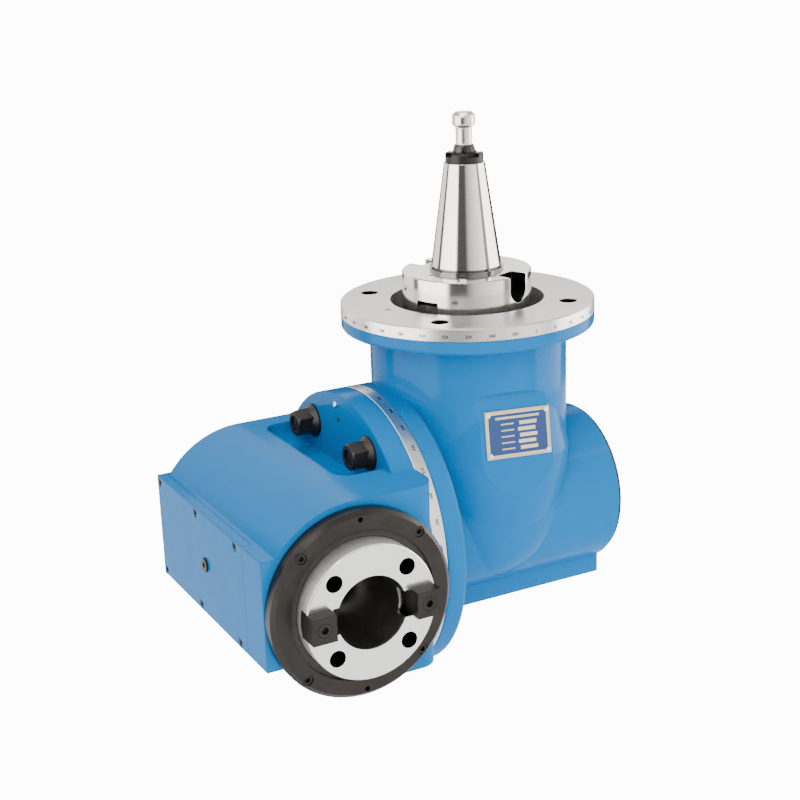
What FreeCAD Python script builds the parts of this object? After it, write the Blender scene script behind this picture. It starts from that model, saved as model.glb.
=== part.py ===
import FreeCAD, Part
import math
import os
import Sketcher

# Two-way swivelling angle head with a 50 taper shank and a 50 taper spindle.
# Lengths are in millimetres. The origin is the centre of the mounting ring's top face.
# Z runs up the shank, X runs along the swivel axis away from the spindle, and the
# spindle looks towards -Y.

V = FreeCAD.Vector

# The driving sizes, one line each: the sheet's alias and the value
SIZES = (
    # layout
    ("axis_drop", 221),
    ("spindle_off", 209.5),
    ("run_gap", 0.05),
    ("free_gap", 0.5),
    # mounting ring and its retaining nut
    ("ring_rad", 127),
    ("ring_thick", 12.5),
    ("ring_hole_rad", 8.75),
    ("ring_hole_circle", 102.5),
    ("dowel_rad", 3),
    ("dowel_circle", 90),
    ("dowel_depth", 6),
    ("spigot_rad", 83),
    ("spigot_wall", 6),
    ("spigot_len", 30),
    ("nut_lip", 5),
    ("nut_thick", 10),
    ("ring_bevel", 1),
    # gear housing casting
    ("flange_thick", 13.5),
    ("flange_round", 4),
    ("neck_round", 6),
    ("neck_rad", 99),
    ("neck_low", 200),
    ("neck_foot", 290),
    ("neck_foot_rad", 45),
    ("belly_forward", 25),
    ("belly_top", 85),
    ("belly_low", 145),
    ("belly_lean", 12),
    ("belly_foot_rad", 20),
    ("drum_rad", 84),
    ("drum_bore_rad", 70),
    ("drum_end", 129),
    ("disc_rad", 143),
    ("disc_back", 88),
    ("disc_thick", 21.5),
    ("disc_round", 5),
    ("pad_drop", 312),
    ("pad_half", 45),
    ("lip_len", 17.5),
    # input cartridge
    ("cartridge_rad", 72),
    ("cartridge_flange_gap", 3),
    ("cartridge_top", 58),
    ("cartridge_flange_thick", 10),
    ("cartridge_end", 148),
    # bevel gears, all four alike but for their bores
    ("pitch_rad", 54),
    ("gear_face", 18),
    ("tooth_tip", 3.6),
    ("tooth_root", 4.95),
    ("gear_rim", 4),
    ("gear_hub_rad", 34),
    ("tooth_slack", 0.6),
    # input shaft, collar and taper shank
    ("input_rad", 30),
    ("input_flange_rad", 56),
    ("input_flange_thick", 12),
    ("collar_rad", 64.285),
    ("collar_top", 29.2),
    ("collar_bottom", -25),
    ("collar_slot_wide", 25.4),
    ("collar_slot_floor", 2.5),
    ("collar_slot_in", 46),
    ("collar_notch_top", 7.5),
    ("collar_notch_deep", 8),
    ("collar_pin_rad", 3),
    ("collar_pin_circle", 44.4),
    ("gauge_rad", 34.925),
    ("gauge_height", 33.2),
    ("taper_len", 101.75),
    ("taper_small_rad", 20.1),
    ("shank_step_rad", 37),
    ("shank_step_thick", 2.5),
    ("shank_spigot_rad", 31),
    ("end_ring_rad", 18.75),
    ("end_ring_len", 9.5),
    ("end_ring_slot_wide", 12),
    ("end_ring_slot_deep", 3.5),
    ("stud_flange_rad", 11.5),
    ("stud_flange_len", 7.5),
    ("stud_neck_rad", 8),
    ("stud_neck_len", 18.5),
    ("stud_head_rad", 11.25),
    ("stud_head_len", 13),
    ("stud_thread_rad", 9),
    ("stud_thread_len", 22),
    # bearings: bore radius, outer radius, width
    ("input_cover_thick", 4),
    ("input_brg_out", 55),
    ("input_brg_wide", 25),
    ("cross_rad", 22.5),
    ("cross_brg_out", 45),
    ("cross_brg_wide", 21),
    ("cross_brg_right", 82),
    ("cross_brg_left", -98),
    ("front_rad", 50),
    ("front_brg_out", 75),
    ("front_brg_wide", 24),
    ("rear_brg_out", 52),
    ("rear_brg_wide", 22),
    ("rear_brg_start", 78),
    # cross carrier and end cover
    ("carrier_start", 74),
    ("cover_thick", 3.5),
    ("cover_rad", 82),
    # swivel joint between the housings
    ("scale_thick", 13.8),
    ("scale_wide", 16),
    ("scale_bevel", 0.8),
    ("slot_wide", 18),
    ("pilot_rad", 84),
    ("pilot_len", 10),
    ("swivel_flange_thick", 23.7),
    ("tee_half_angle", 31),
    ("tee_bolt_rad", 8),
    ("tee_head_side", 27),
    ("tee_head_thick", 9.5),
    ("tee_groove_depth", 11.5),
    ("tee_groove_half", 15),
    ("tee_bolt_proud", 20),
    ("nut_flats", 24),
    ("nut_height", 22),
    ("nut_flange_rad", 17),
    ("nut_flange_thick", 2),
    ("nut_cone_high", 7),
    ("nut_bevel", 2),
    # spindle housing casting
    ("house_front", -150),
    ("house_back", 112),
    ("house_rad", 95),
    ("house_bottom", 86.7),
    ("side_cover_thick", 10),
    ("plug_y", -11.5),
    ("plug_up", 4.2),
    ("side_up", 57),
    ("side_down", 49.5),
    ("side_front", -108),
    ("side_edge", 300),
    ("recess_left", 17),
    ("recess_front", -90),
    ("recess_back", 88),
    ("recess_floor", 71),
    ("recess_round", 16),
    ("corner_round", 20),
    ("gear_room_rad", 63),
    ("front_seat", -88),
    # spindle housing covers
    ("front_cover_rad", 90),
    ("front_cover_bore", 71.5),
    ("front_cover_thick", 15.5),
    ("front_cover_bevel", 4),
    ("front_screw_circle", 82.5),
    ("jack_hole_rad", 2.5),
    ("seal_thick", 8),
    ("rear_cover_rad", 66),
    ("rear_cover_thick", 8),
    ("rear_cover_bore", 20),
    ("side_hole_inset", 6.3),
    ("side_first_hole", 105),
    ("side_hole_pitch", 97.5),
    # spindle
    ("nose_rad", 64.285),
    ("nose_face", -182),
    ("nose_back", -147),
    ("nose_hole_circle", 50.8),
    ("nose_hole_rad", 8),
    ("nose_hole_deep", 30),
    ("socket_rad", 34.925),
    ("socket_len", 101.75),
    ("socket_small_rad", 20.1),
    ("drawbar_rad", 14),
    ("key_wide", 25.4),
    ("key_inner", 40),
    ("key_outer", 63.5),
    ("key_depth", 12),
    ("key_proud", 11),
    ("spindle_rad", 30),
    ("front_nut_thick", 12),
    ("front_nut_rad", 58),
    # small parts
    ("gear_key_wide", 10),
    ("gear_key_high", 8),
    ("gear_key_len", 12),
    ("shaft_nut_rad", 30),
    ("shaft_nut_thick", 8),
    ("left_hub_end", 73),
    ("plate_wide", 70.2),
    ("plate_high", 46.5),
    ("plate_thick", 1.2),
    ("plate_side", -2.4),
    ("plate_out", 96.5),
    ("plate_drop", 116.2),
    ("plate_yaw", -4),
    ("plate_roll", -2.5),
    ("plate_margin", 4),
    ("flat_round", 14),
    ("rivet_rad", 1.6),
)

TEETH = 24
PRESSURE_ANGLE = math.radians(20)
COLLAR_TURN = -68
SIX = (0, 60, 120, 180, 240, 300)
ROLLERS = 12

TURNED = {
    "Z": FreeCAD.Rotation(),
    "X": FreeCAD.Rotation(V(0, 1, 0), 90),
    "Y": FreeCAD.Rotation(V(1, 0, 0), -90),
}


class Dim:
    """A size with its number and the sheet formula that it comes from."""

    def __init__(self, number, formula):
        self.number = float(number)
        self.formula = formula

    def __add__(self, other):
        other = dim(other)
        return Dim(self.number + other.number, f"({self.formula} + {other.formula})")

    def __sub__(self, other):
        other = dim(other)
        return Dim(self.number - other.number, f"({self.formula} - {other.formula})")

    def __mul__(self, other):
        other = dim(other)
        return Dim(self.number * other.number, f"({self.formula} * {other.formula})")

    def __truediv__(self, other):
        other = dim(other)
        return Dim(self.number / other.number, f"({self.formula} / {other.formula})")

    def __neg__(self):
        return Dim(-self.number, f"(-1 * {self.formula})")

    def __radd__(self, other):
        return dim(other) + self

    def __rsub__(self, other):
        return dim(other) - self

    def __rmul__(self, other):
        return dim(other) * self


def dim(value):
    """A plain number as a Dim."""
    if isinstance(value, Dim):
        return value
    return Dim(value, repr(float(value)))


class Sheet:
    """The document's spreadsheet, read as attributes."""

    def __init__(self, document):
        self.cells = document.addObject("Spreadsheet::Sheet", "Sizes")
        for row, (alias, value) in enumerate(SIZES, start=1):
            self.cells.set(f"A{row}", alias)
            self.cells.set(f"B{row}", str(value))
            self.cells.setAlias(f"B{row}", alias)
        document.recompute()

    def __getattr__(self, alias):
        return Dim(self.cells.get(alias), f"Sizes.{alias}")


doc = FreeCAD.newDocument("angle_head")
S = Sheet(doc)
NODES = []


def bind(thing, name, value):
    """Set a property and tie it to the sheet."""
    value = dim(value)
    if not name.startswith("Placement"):
        setattr(thing, name, value.number)
    thing.setExpression(name, value.formula)


def place(thing, at=(0, 0, 0), along="Z"):
    """Stand a thing at a point with its own Z turned along an axis."""
    thing.Placement = FreeCAD.Placement(V(*[dim(c).number for c in at]), TURNED[along])
    for letter, value in zip("xyz", at):
        if isinstance(value, Dim):
            thing.setExpression(f"Placement.Base.{letter}", value.formula)


def node(thing, label):
    """Name a finished sub-part and put it on the list of files."""
    thing.Label = label
    NODES.append(thing)
    return thing


def rod(name, rad, start, end, centre=(0, 0, 0), along="Z"):
    """A cylinder from start to end along an axis through centre."""
    thing = doc.addObject("Part::Cylinder", name)
    bind(thing, "Radius", rad)
    bind(thing, "Height", dim(end) - start)
    at = list(centre)
    at["XYZ".index(along)] = dim(start) + at["XYZ".index(along)]
    place(thing, at, along)
    return thing


def block(name, low, high):
    """A box between two corners."""
    thing = doc.addObject("Part::Box", name)
    for side, a, b in zip(("Length", "Width", "Height"), low, high):
        bind(thing, side, dim(b) - a)
    place(thing, [dim(a) for a in low])
    return thing


def fuse(name, *things):
    thing = doc.addObject("Part::MultiFuse", name)
    thing.Shapes = list(things)
    thing.Refine = True
    return thing


def common(name, *things):
    thing = doc.addObject("Part::MultiCommon", name)
    thing.Shapes = list(things)
    return thing


def cut(name, base, *tools):
    """The base without the tools."""
    thing = doc.addObject("Part::Cut", name)
    thing.Base = base
    thing.Tool = tools[0] if len(tools) == 1 else fuse(name + "_tools", *tools)
    doc.recompute()
    if thing.Shape.Volume >= base.Shape.Volume - 1e-6:
        raise RuntimeError(f"{name} took nothing away")
    return thing


def rounded(name, base, rad, keep):
    """The base with a fillet on the edges that keep says."""
    doc.recompute()
    thing = doc.addObject("Part::Fillet", name)
    thing.Base = base
    size = dim(rad).number
    edges = [i for i, edge in enumerate(base.Shape.Edges, start=1) if keep(edge)]
    thing.Edges = [(i, size, size) for i in edges]
    doc.recompute()
    return thing


def origin_plane(body, role):
    for feature in body.Origin.OriginFeatures:
        if feature.Role == role:
            return feature
    raise LookupError(role)


def sketch_on(body, name, role, lift=0):
    """A sketch on one of the body's own origin planes, lifted along its normal."""
    sketch = body.newObject("Sketcher::SketchObject", name)
    sketch.AttachmentSupport = [(origin_plane(body, role), "")]
    sketch.MapMode = "FlatFace"
    lift = dim(lift)
    if lift.number:
        sketch.AttachmentOffset = FreeCAD.Placement(V(0, 0, lift.number), FreeCAD.Rotation())
        sketch.setExpression("AttachmentOffset.Base.z", lift.formula)
    return sketch


def pin_point(sketch, geometry, end, point):
    """Tie a point of a sketch to its two sizes."""
    for kind, value, axis in (("DistanceX", point[0], -2), ("DistanceY", point[1], -1)):
        value = dim(value)
        if value.number == 0:
            sketch.addConstraint(Sketcher.Constraint("PointOnObject", geometry, end, axis))
            continue
        index = sketch.addConstraint(
            Sketcher.Constraint(kind, -1, 1, geometry, end, value.number)
        )
        sketch.setExpression(f"Constraints[{index}]", value.formula)


def outline(sketch, points, bulge=None):
    """Closed outline through points. bulge names the side that is an arc, and its radius."""
    corners = [V(dim(x).number, dim(y).number, 0) for x, y in points]
    count = len(points)
    for i, start in enumerate(corners):
        end = corners[(i + 1) % count]
        if bulge and bulge[0] == i:
            sketch.addGeometry(side_arc(start, end, dim(bulge[1]).number), False)
        else:
            sketch.addGeometry(Part.LineSegment(start, end), False)
    for i in range(count):
        sketch.addConstraint(Sketcher.Constraint("Coincident", i, 2, (i + 1) % count, 1))
    for i, point in enumerate(points):
        pin_point(sketch, i, 1, point)
    if bulge:
        side, rad = bulge[0], dim(bulge[1])
        index = sketch.addConstraint(Sketcher.Constraint("Radius", side, rad.number))
        sketch.setExpression(f"Constraints[{index}]", rad.formula)


def side_arc(start, end, rad):
    """The arc between two points that swells to the right of the way from start to end."""
    middle = (start + end) / 2
    along = end - start
    half = along.Length / 2
    inward = V(-along.y, along.x, 0).normalize()
    centre = middle + inward * math.sqrt(rad * rad - half * half)
    top = centre - inward * rad
    return Part.Arc(start, top, end)


def turned(name, points, at=(0, 0, 0), along="Z", angle=360, bulge=None):
    """A body turned about its own Z from points (radius, height)."""
    body = doc.addObject("PartDesign::Body", name)
    sketch = sketch_on(body, name + "_profile", "XZ_Plane")
    outline(sketch, points, bulge)
    feature = body.newObject("PartDesign::Revolution", name + "_turn")
    feature.Profile = sketch
    feature.ReferenceAxis = (sketch, ["V_Axis"])
    if angle != 360:
        feature.Midplane = True
    bind(feature, "Angle", angle)
    place(body, at, along)
    doc.recompute()
    return body


def pocket(body, name, sketch, depth):
    """Cut a sketch downwards, against its normal."""
    before = body.Shape.Volume
    feature = body.newObject("PartDesign::Pocket", name)
    feature.Profile = sketch
    bind(feature, "Length", depth)
    doc.recompute()
    if body.Shape.Volume >= before - 1e-6:
        raise RuntimeError(f"{name} cuts nothing")
    return feature


def around(rad, degrees):
    """The point at a radius and an angle."""
    rad = dim(rad)
    cosine = Dim(math.cos(math.radians(degrees)), f"cos({degrees} deg)")
    sine = Dim(math.sin(math.radians(degrees)), f"sin({degrees} deg)")
    point = []
    for share in (cosine, sine):
        point.append(rad * share if abs(share.number) > 1e-9 else dim(0))
    return point


def drill(body, name, top, depth, rad, circle, turns):
    """Round holes on a circle, drilled down from a height in the body's own frame."""
    sketch = sketch_on(body, name + "_holes", "XY_Plane", top)
    for i, turn in enumerate(turns):
        x, y = around(circle, turn)
        centre = V(x.number, y.number, 0)
        sketch.addGeometry(Part.Circle(centre, V(0, 0, 1), dim(rad).number), False)
        pin_point(sketch, i, 3, (x, y))
        index = sketch.addConstraint(Sketcher.Constraint("Radius", i, dim(rad).number))
        sketch.setExpression(f"Constraints[{index}]", dim(rad).formula)
    doc.recompute()
    return pocket(body, name, sketch, depth)


def group(label, source, places):
    """Separate copies of one solid, as one sub-part."""
    doc.recompute()
    thing = doc.addObject("Part::Feature", label)
    copies = []
    for spot in places:
        copy = source.Shape.copy()
        copy.Placement = spot.multiply(copy.Placement)
        copies.append(copy)
    thing.Shape = Part.makeCompound(copies)
    return node(thing, label)


def spot(at, along="Z", turn=0, flip=False):
    """A placement: turned about its own Z, laid along an axis, and moved."""
    rotation = TURNED[along]
    if flip:
        rotation = rotation.multiply(FreeCAD.Rotation(V(1, 0, 0), 180))
    rotation = rotation.multiply(FreeCAD.Rotation(V(0, 0, 1), turn))
    return FreeCAD.Placement(V(*[dim(c).number for c in at]), rotation)


def socket_screw(name, shank_rad, shank_len):
    """A cap screw that stands on its seat at z = 0, with its shank below."""
    head_rad = shank_rad * 1.6
    head_len = shank_rad * 2
    shank = rod(name + "_shank", shank_rad, -shank_len, 0)
    head = rod(name + "_head", head_rad, 0, head_len)
    hexagon = doc.addObject("Part::Prism", name + "_hexagon")
    hexagon.Polygon = 6
    hexagon.Circumradius = shank_rad * 0.95
    hexagon.Height = head_len
    hexagon.Placement.Base.z = head_len / 2
    return cut(name, fuse(name + "_blank", shank, head), hexagon)


def wells(name, places, rad, depth):
    """Round wells that screw heads sink in."""
    thing = doc.addObject("Part::Feature", name)
    copies = []
    for place_of in places:
        copy = Part.makeCylinder(rad, depth)
        copy.Placement = place_of
        copies.append(copy)
    thing.Shape = Part.makeCompound(copies)
    return thing


# Places that several pieces share
AXIS_Z = -S.axis_drop
SPINDLE_X = -S.spindle_off
SPINDLE_AT = (SPINDLE_X, 0, AXIS_Z)
CROSS_AT = (0, 0, AXIS_Z)
RING_LOW = -S.ring_thick
RING_BORE_RAD = S.spigot_rad - S.spigot_wall
NUT_ROOM_RAD = S.spigot_rad + S.nut_lip + 1
CARTRIDGE_FLANGE_RAD = NUT_ROOM_RAD - S.cartridge_flange_gap
SCALE_INNER_RAD = S.disc_rad - S.scale_wide
SLOT_INNER_RAD = SCALE_INNER_RAD - S.slot_wide
TEE_CIRCLE = (SCALE_INNER_RAD + SLOT_INNER_RAD) / 2
FLANGE_TOP = RING_LOW - S.run_gap
FLANGE_LOW = FLANGE_TOP - S.flange_thick
LIP_LOW = FLANGE_TOP - S.lip_len
CARTRIDGE_SEAT = -S.cartridge_top - S.cartridge_flange_thick
DISC_FRONT = -S.disc_back - S.disc_thick
SCALE_FRONT = DISC_FRONT - S.scale_thick
SWIVEL_FACE = SCALE_FRONT - S.run_gap
SWIVEL_BACK = SWIVEL_FACE - S.swivel_flange_thick
GEAR_TOE = 1 - S.gear_face / (S.pitch_rad * math.sqrt(2))
GEAR_BACK = S.pitch_rad + (S.tooth_root + S.gear_rim) / math.sqrt(2)
TOE_FACE = GEAR_TOE * GEAR_BACK
RIGHT_BEARING_END = S.cross_brg_right + S.cross_brg_wide
LEFT_BEARING_END = S.cross_brg_left + S.cross_brg_wide
CROSS_TIP = SPINDLE_X + TOE_FACE - S.shaft_nut_thick
REAR_BEARING_END = S.rear_brg_start + S.rear_brg_wide
SIDE_SEAT_X = -S.side_edge + S.side_cover_thick


def mounting_ring():
    """Ground ring with a spigot that carries the housing."""
    spigot_end = RING_LOW - S.spigot_len
    ring = turned("mounting_ring", (
        (RING_BORE_RAD, 0),
        (S.ring_rad - S.ring_bevel, 0),
        (S.ring_rad, -S.ring_bevel),
        (S.ring_rad, RING_LOW),
        (S.spigot_rad, RING_LOW),
        (S.spigot_rad, spigot_end),
        (RING_BORE_RAD, spigot_end),
    ))
    drill(ring, "ring_bolt_holes", 0, S.ring_thick, S.ring_hole_rad,
          S.ring_hole_circle, (45, 135, 225, 315))
    drill(ring, "ring_dowel_hole", 0, S.dowel_depth, S.dowel_rad, S.dowel_circle, (181,))
    node(ring, "mounting_ring")
    nut_top = LIP_LOW - S.run_gap
    nut = turned("retaining_nut", (
        (S.spigot_rad, nut_top),
        (S.spigot_rad + S.nut_lip, nut_top),
        (S.spigot_rad + S.nut_lip, nut_top - S.nut_thick),
        (S.spigot_rad, nut_top - S.nut_thick),
    ))
    drill(nut, "spanner_holes", nut_top, S.nut_thick, S.nut_lip / 4,
          S.spigot_rad + S.nut_lip / 2, (0, 90, 180, 270))
    node(nut, "retaining_nut")


def foot_arc_rad(start_rad, start_drop, end_rad):
    """Radius of the arc that leaves an upright wall and ends at the neck's foot."""
    drop = S.neck_foot - start_drop
    inset = start_rad - end_rad
    return (drop * drop + inset * inset) / (inset * 2)


def belly():
    """The swelling at the front of the neck, turned about an axis ahead of the neck's."""
    top_rad = S.neck_rad - S.belly_forward
    low_rad = top_rad + (S.belly_low - S.belly_top) * tangent(S.belly_lean)
    return turned("belly", (
        (0, -S.neck_foot),
        (S.belly_foot_rad, -S.neck_foot),
        (low_rad, -S.belly_low),
        (top_rad, -S.belly_top),
        (0, -S.belly_top),
    ), (0, -S.belly_forward, 0), bulge=(1, foot_arc_rad(low_rad, S.belly_low, S.belly_foot_rad)))


def tangent(angle):
    """The tangent of a size in degrees."""
    return Dim(math.tan(math.radians(angle.number)), f"tan({angle.formula} * 1 deg)")


def gear_housing(rivets, end_wells):
    """Casting: flange, neck with its belly, drum, swivel disc and foot pad."""
    neck = turned("neck", (
        (0, -S.neck_foot),
        (S.neck_foot_rad, -S.neck_foot),
        (S.neck_rad, -S.neck_low),
        (S.neck_rad, FLANGE_LOW),
        (S.ring_rad, FLANGE_LOW),
        (S.ring_rad, FLANGE_TOP),
        (0, FLANGE_TOP),
    ), bulge=(1, foot_arc_rad(S.neck_rad, S.neck_low, S.neck_foot_rad)))
    drum = rod("drum", S.drum_rad, DISC_FRONT, S.drum_end, CROSS_AT, "X")
    disc = rod("disc", S.disc_rad, DISC_FRONT, -S.disc_back, CROSS_AT, "X")
    pad = block("pad", (-S.disc_back, -S.pad_half, -S.pad_drop), (S.drum_end, S.pad_half, AXIS_Z))
    solid = fuse("housing_blank", neck, belly(), drum, disc, pad)
    solid = rounded("disc_rounds", solid, S.disc_round, disc_back_rim)
    solid = rounded("flange_rounds", solid, S.flange_round, flange_low_rim)
    solid = rounded("neck_rounds", solid, S.neck_round, neck_root)
    casting = cut(
        "gear_housing", solid,
        rod("lip_bore", S.spigot_rad + S.run_gap, LIP_LOW, FLANGE_TOP),
        rod("nut_room", NUT_ROOM_RAD, CARTRIDGE_SEAT, LIP_LOW),
        rod("cartridge_bore", S.cartridge_rad, AXIS_Z, CARTRIDGE_SEAT),
        rod("drum_bore", S.drum_bore_rad, LEFT_BEARING_END, S.drum_end, CROSS_AT, "X"),
        rod("left_seat", S.cross_brg_out, S.cross_brg_left, LEFT_BEARING_END, CROSS_AT, "X"),
        rod("left_way", S.cross_brg_out - 5, DISC_FRONT, S.cross_brg_left, CROSS_AT, "X"),
        tee_groove(),
        *plate_flat(),
        rivets,
        end_wells,
        *[thing for thing in NODES if thing.Label in ("cartridge_screws", "end_cover_screws",
                                                      "scale_screws")],
    )
    node(casting, "gear_housing")


def tee_groove():
    """The wide part of the tee slot, sunk in the swivel disc."""
    floor = DISC_FRONT + S.tee_groove_depth
    outer = rod("groove_out", TEE_CIRCLE + S.tee_groove_half, DISC_FRONT, floor, CROSS_AT, "X")
    inner = rod("groove_in", TEE_CIRCLE - S.tee_groove_half, DISC_FRONT - 1, floor + 1,
                CROSS_AT, "X")
    return cut("tee_groove", outer, inner)


def disc_back_rim(edge):
    """The rim of the disc on its neck side."""
    box = edge.BoundBox
    flat = box.XLength < 0.01 and abs(box.XMin + S.disc_back.number) < 0.01
    return flat and is_arc(edge, S.disc_rad.number)


def flange_low_rim(edge):
    """The lower outer rim of the neck's flange."""
    box = edge.BoundBox
    flat = box.ZLength < 0.01 and abs(box.ZMin - FLANGE_LOW.number) < 0.01
    return flat and is_arc(edge, S.ring_rad.number)


def neck_root(edge):
    """The corner where the neck meets its flange."""
    box = edge.BoundBox
    flat = box.ZLength < 0.01 and abs(box.ZMin - FLANGE_LOW.number) < 0.01
    return flat and is_arc(edge, S.neck_rad.number)


def is_arc(edge, rad):
    return isinstance(edge.Curve, Part.Circle) and abs(edge.Curve.Radius - rad) < 0.01


def plate_place(x=0, y=0, z=0):
    """A placement in the plate's own frame, whose Z looks out of its face."""
    turn = FreeCAD.Rotation(V(0, 0, 1), S.plate_yaw.number)
    lean = FreeCAD.Rotation(V(1, 0, 0), 90 - S.belly_lean.number)
    roll = FreeCAD.Rotation(V(0, 0, 1), S.plate_roll.number)
    at = V(S.plate_side.number, -S.plate_out.number, -S.plate_drop.number)
    frame = FreeCAD.Placement(at, turn.multiply(lean).multiply(roll))
    return frame.multiply(FreeCAD.Placement(V(x, y, z), FreeCAD.Rotation()))


def plate_flat():
    """The flat that the plate lies on, with a round run-out at its upper end."""
    rad = S.flat_round
    top = S.plate_high / 2 + S.plate_margin
    wide = S.plate_wide * 2
    face = doc.addObject("Part::Box", "flat_face")
    bind(face, "Length", wide)
    bind(face, "Width", S.belly_low)
    bind(face, "Height", rad * 2)
    face.Placement = plate_place(-wide.number / 2, (top - S.belly_low).number)
    end = doc.addObject("Part::Cylinder", "flat_end")
    bind(end, "Radius", rad)
    bind(end, "Height", wide)
    end.Placement = plate_place(-wide.number / 2, top.number, rad.number).multiply(
        FreeCAD.Placement(V(0, 0, 0), TURNED["X"])
    )
    return face, end


def nameplate():
    """Flat plate on the belly's flat, and its four rivets."""
    pin = rod("rivet_pin", S.rivet_rad, -4, 0)
    head = rod("rivet_head", S.rivet_rad * 1.6, S.plate_thick, S.plate_thick + 1)
    stem = rod("rivet_stem", S.rivet_rad, 0, S.plate_thick)
    rivet = fuse("rivet", pin, stem, head)
    across = S.plate_wide.number / 2 - 3.5
    up = S.plate_high.number / 2 - 3.5
    corners = ((across, up), (-across, up), (-across, -up), (across, -up))
    rivets = group("nameplate_rivets", rivet, [plate_place(x, y) for x, y in corners])
    plate = doc.addObject("Part::Box", "plate_blank")
    bind(plate, "Length", S.plate_wide)
    bind(plate, "Width", S.plate_high)
    bind(plate, "Height", S.plate_thick)
    plate.Placement = plate_place(-S.plate_wide.number / 2, -S.plate_high.number / 2)
    node(cut("nameplate", plate, rivets), "nameplate")
    return rivets


def input_cartridge():
    """Sleeve that holds both input bearings in the neck, and its seal cover."""
    upper = -S.cartridge_top - 4
    shoulder = upper - S.input_brg_wide
    lower_seat = -S.cartridge_end + S.input_brg_wide
    sleeve = turned("cartridge_blank", (
        (S.input_brg_out, -S.cartridge_top),
        (CARTRIDGE_FLANGE_RAD, -S.cartridge_top),
        (CARTRIDGE_FLANGE_RAD, CARTRIDGE_SEAT),
        (S.cartridge_rad, CARTRIDGE_SEAT),
        (S.cartridge_rad, -S.cartridge_end),
        (S.input_brg_out, -S.cartridge_end),
        (S.input_brg_out, lower_seat),
        (S.input_brg_out - 5, lower_seat),
        (S.input_brg_out - 5, shoulder),
        (S.input_brg_out, shoulder),
    ))
    cover_top = -S.cartridge_top + S.input_cover_thick
    cover = turned("input_cover_blank", (
        (S.input_rad + S.free_gap, -S.cartridge_top),
        (CARTRIDGE_FLANGE_RAD, -S.cartridge_top),
        (CARTRIDGE_FLANGE_RAD, cover_top),
        (S.input_rad + S.free_gap, cover_top),
    ))
    circle = (S.cartridge_rad + CARTRIDGE_FLANGE_RAD) / 2
    screw = socket_screw("cartridge_screw", 3, 22)
    places = [spot((*around(circle, turn), cover_top)) for turn in SIX]
    screws = group("cartridge_screws", screw, places)
    node(cut("input_cartridge", sleeve, screws), "input_cartridge")
    node(cut("input_cover", cover, screws), "input_cover")
    bearing("input_bearing", (0, 0, 0), "Z", (-S.cartridge_end, shoulder),
            S.input_brg_wide, S.input_rad, S.input_brg_out)


def input_shaft():
    """Shaft from the collar's seat down to the first bevel gear."""
    seat = S.collar_bottom
    flange_low = seat - S.input_flange_thick
    gear_top = -S.cartridge_end
    toe = AXIS_Z + TOE_FACE
    tip = toe - S.shaft_nut_thick
    shaft = turned("input_shaft_blank", (
        (0, tip),
        (S.cross_rad, tip),
        (S.cross_rad, gear_top),
        (S.input_rad, gear_top),
        (S.input_rad, flange_low),
        (S.input_flange_rad, flange_low),
        (S.input_flange_rad, seat),
        (S.shank_spigot_rad, seat),
        (S.shank_spigot_rad, seat + 10),
        (0, seat + 10),
    ))
    gear_key = block("input_gear_key", *key_box((0, 0, AXIS_Z), "Z", S.cross_rad))
    node(gear_key, "input_gear_key")
    screw = socket_screw("collar_screw", 4, 28)
    circle = (S.input_rad + S.input_flange_rad) / 2 + 1
    places = [spot((*around(circle, turn), flange_low), flip=True) for turn in SIX]
    screws = group("collar_screws", screw, places)
    node(cut("input_shaft", shaft, gear_key, screws), "input_shaft")
    gear = bevel_gear("input_gear_blank", S.cross_rad, S.axis_drop - S.cartridge_end, CROSS_AT,
                      "Z", 0)
    node(cut("input_gear", gear, gear_key), "input_gear")
    locknuts("input_locknut", [((0, 0, tip), "Z")])
    return screws


def key_box(apex, along, bore):
    """The two corners of a gear's key, on the shaft's first other axis."""
    run = "XYZ".index(along)
    up = {"X": 2, "Y": 2, "Z": 1}[along]
    low = list(apex)
    high = list(apex)
    side = 3 - run - up
    low[run] = GEAR_BACK + apex[run]
    high[run] = GEAR_BACK + S.gear_key_len + apex[run]
    low[up] = bore - S.gear_key_high / 2 + apex[up]
    high[up] = bore + S.gear_key_high / 2 + apex[up]
    low[side] = -S.gear_key_wide / 2 + apex[side]
    high[side] = S.gear_key_wide / 2 + apex[side]
    return low, high


def locknuts(label, ends):
    """Slotted round nuts on the shafts of one size."""
    blank = turned(label + "_blank", (
        (S.cross_rad, 0),
        (S.shaft_nut_rad, 0),
        (S.shaft_nut_rad, S.shaft_nut_thick),
        (S.cross_rad, S.shaft_nut_thick),
    ))
    slots = [
        block(f"{label}_slot_{i}", low, high)
        for i, (low, high) in enumerate((
            ((-S.shaft_nut_rad - 1, -3, -1), (-S.shaft_nut_rad + 3, 3, S.shaft_nut_thick + 1)),
            ((S.shaft_nut_rad - 3, -3, -1), (S.shaft_nut_rad + 1, 3, S.shaft_nut_thick + 1)),
            ((-3, -S.shaft_nut_rad - 1, -1), (3, -S.shaft_nut_rad + 3, S.shaft_nut_thick + 1)),
            ((-3, S.shaft_nut_rad - 3, -1), (3, S.shaft_nut_rad + 1, S.shaft_nut_thick + 1)),
        ))
    ]
    nut = cut(label + "_one", blank, *slots)
    group(label, nut, [spot(at, along) for at, along in ends])


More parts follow.
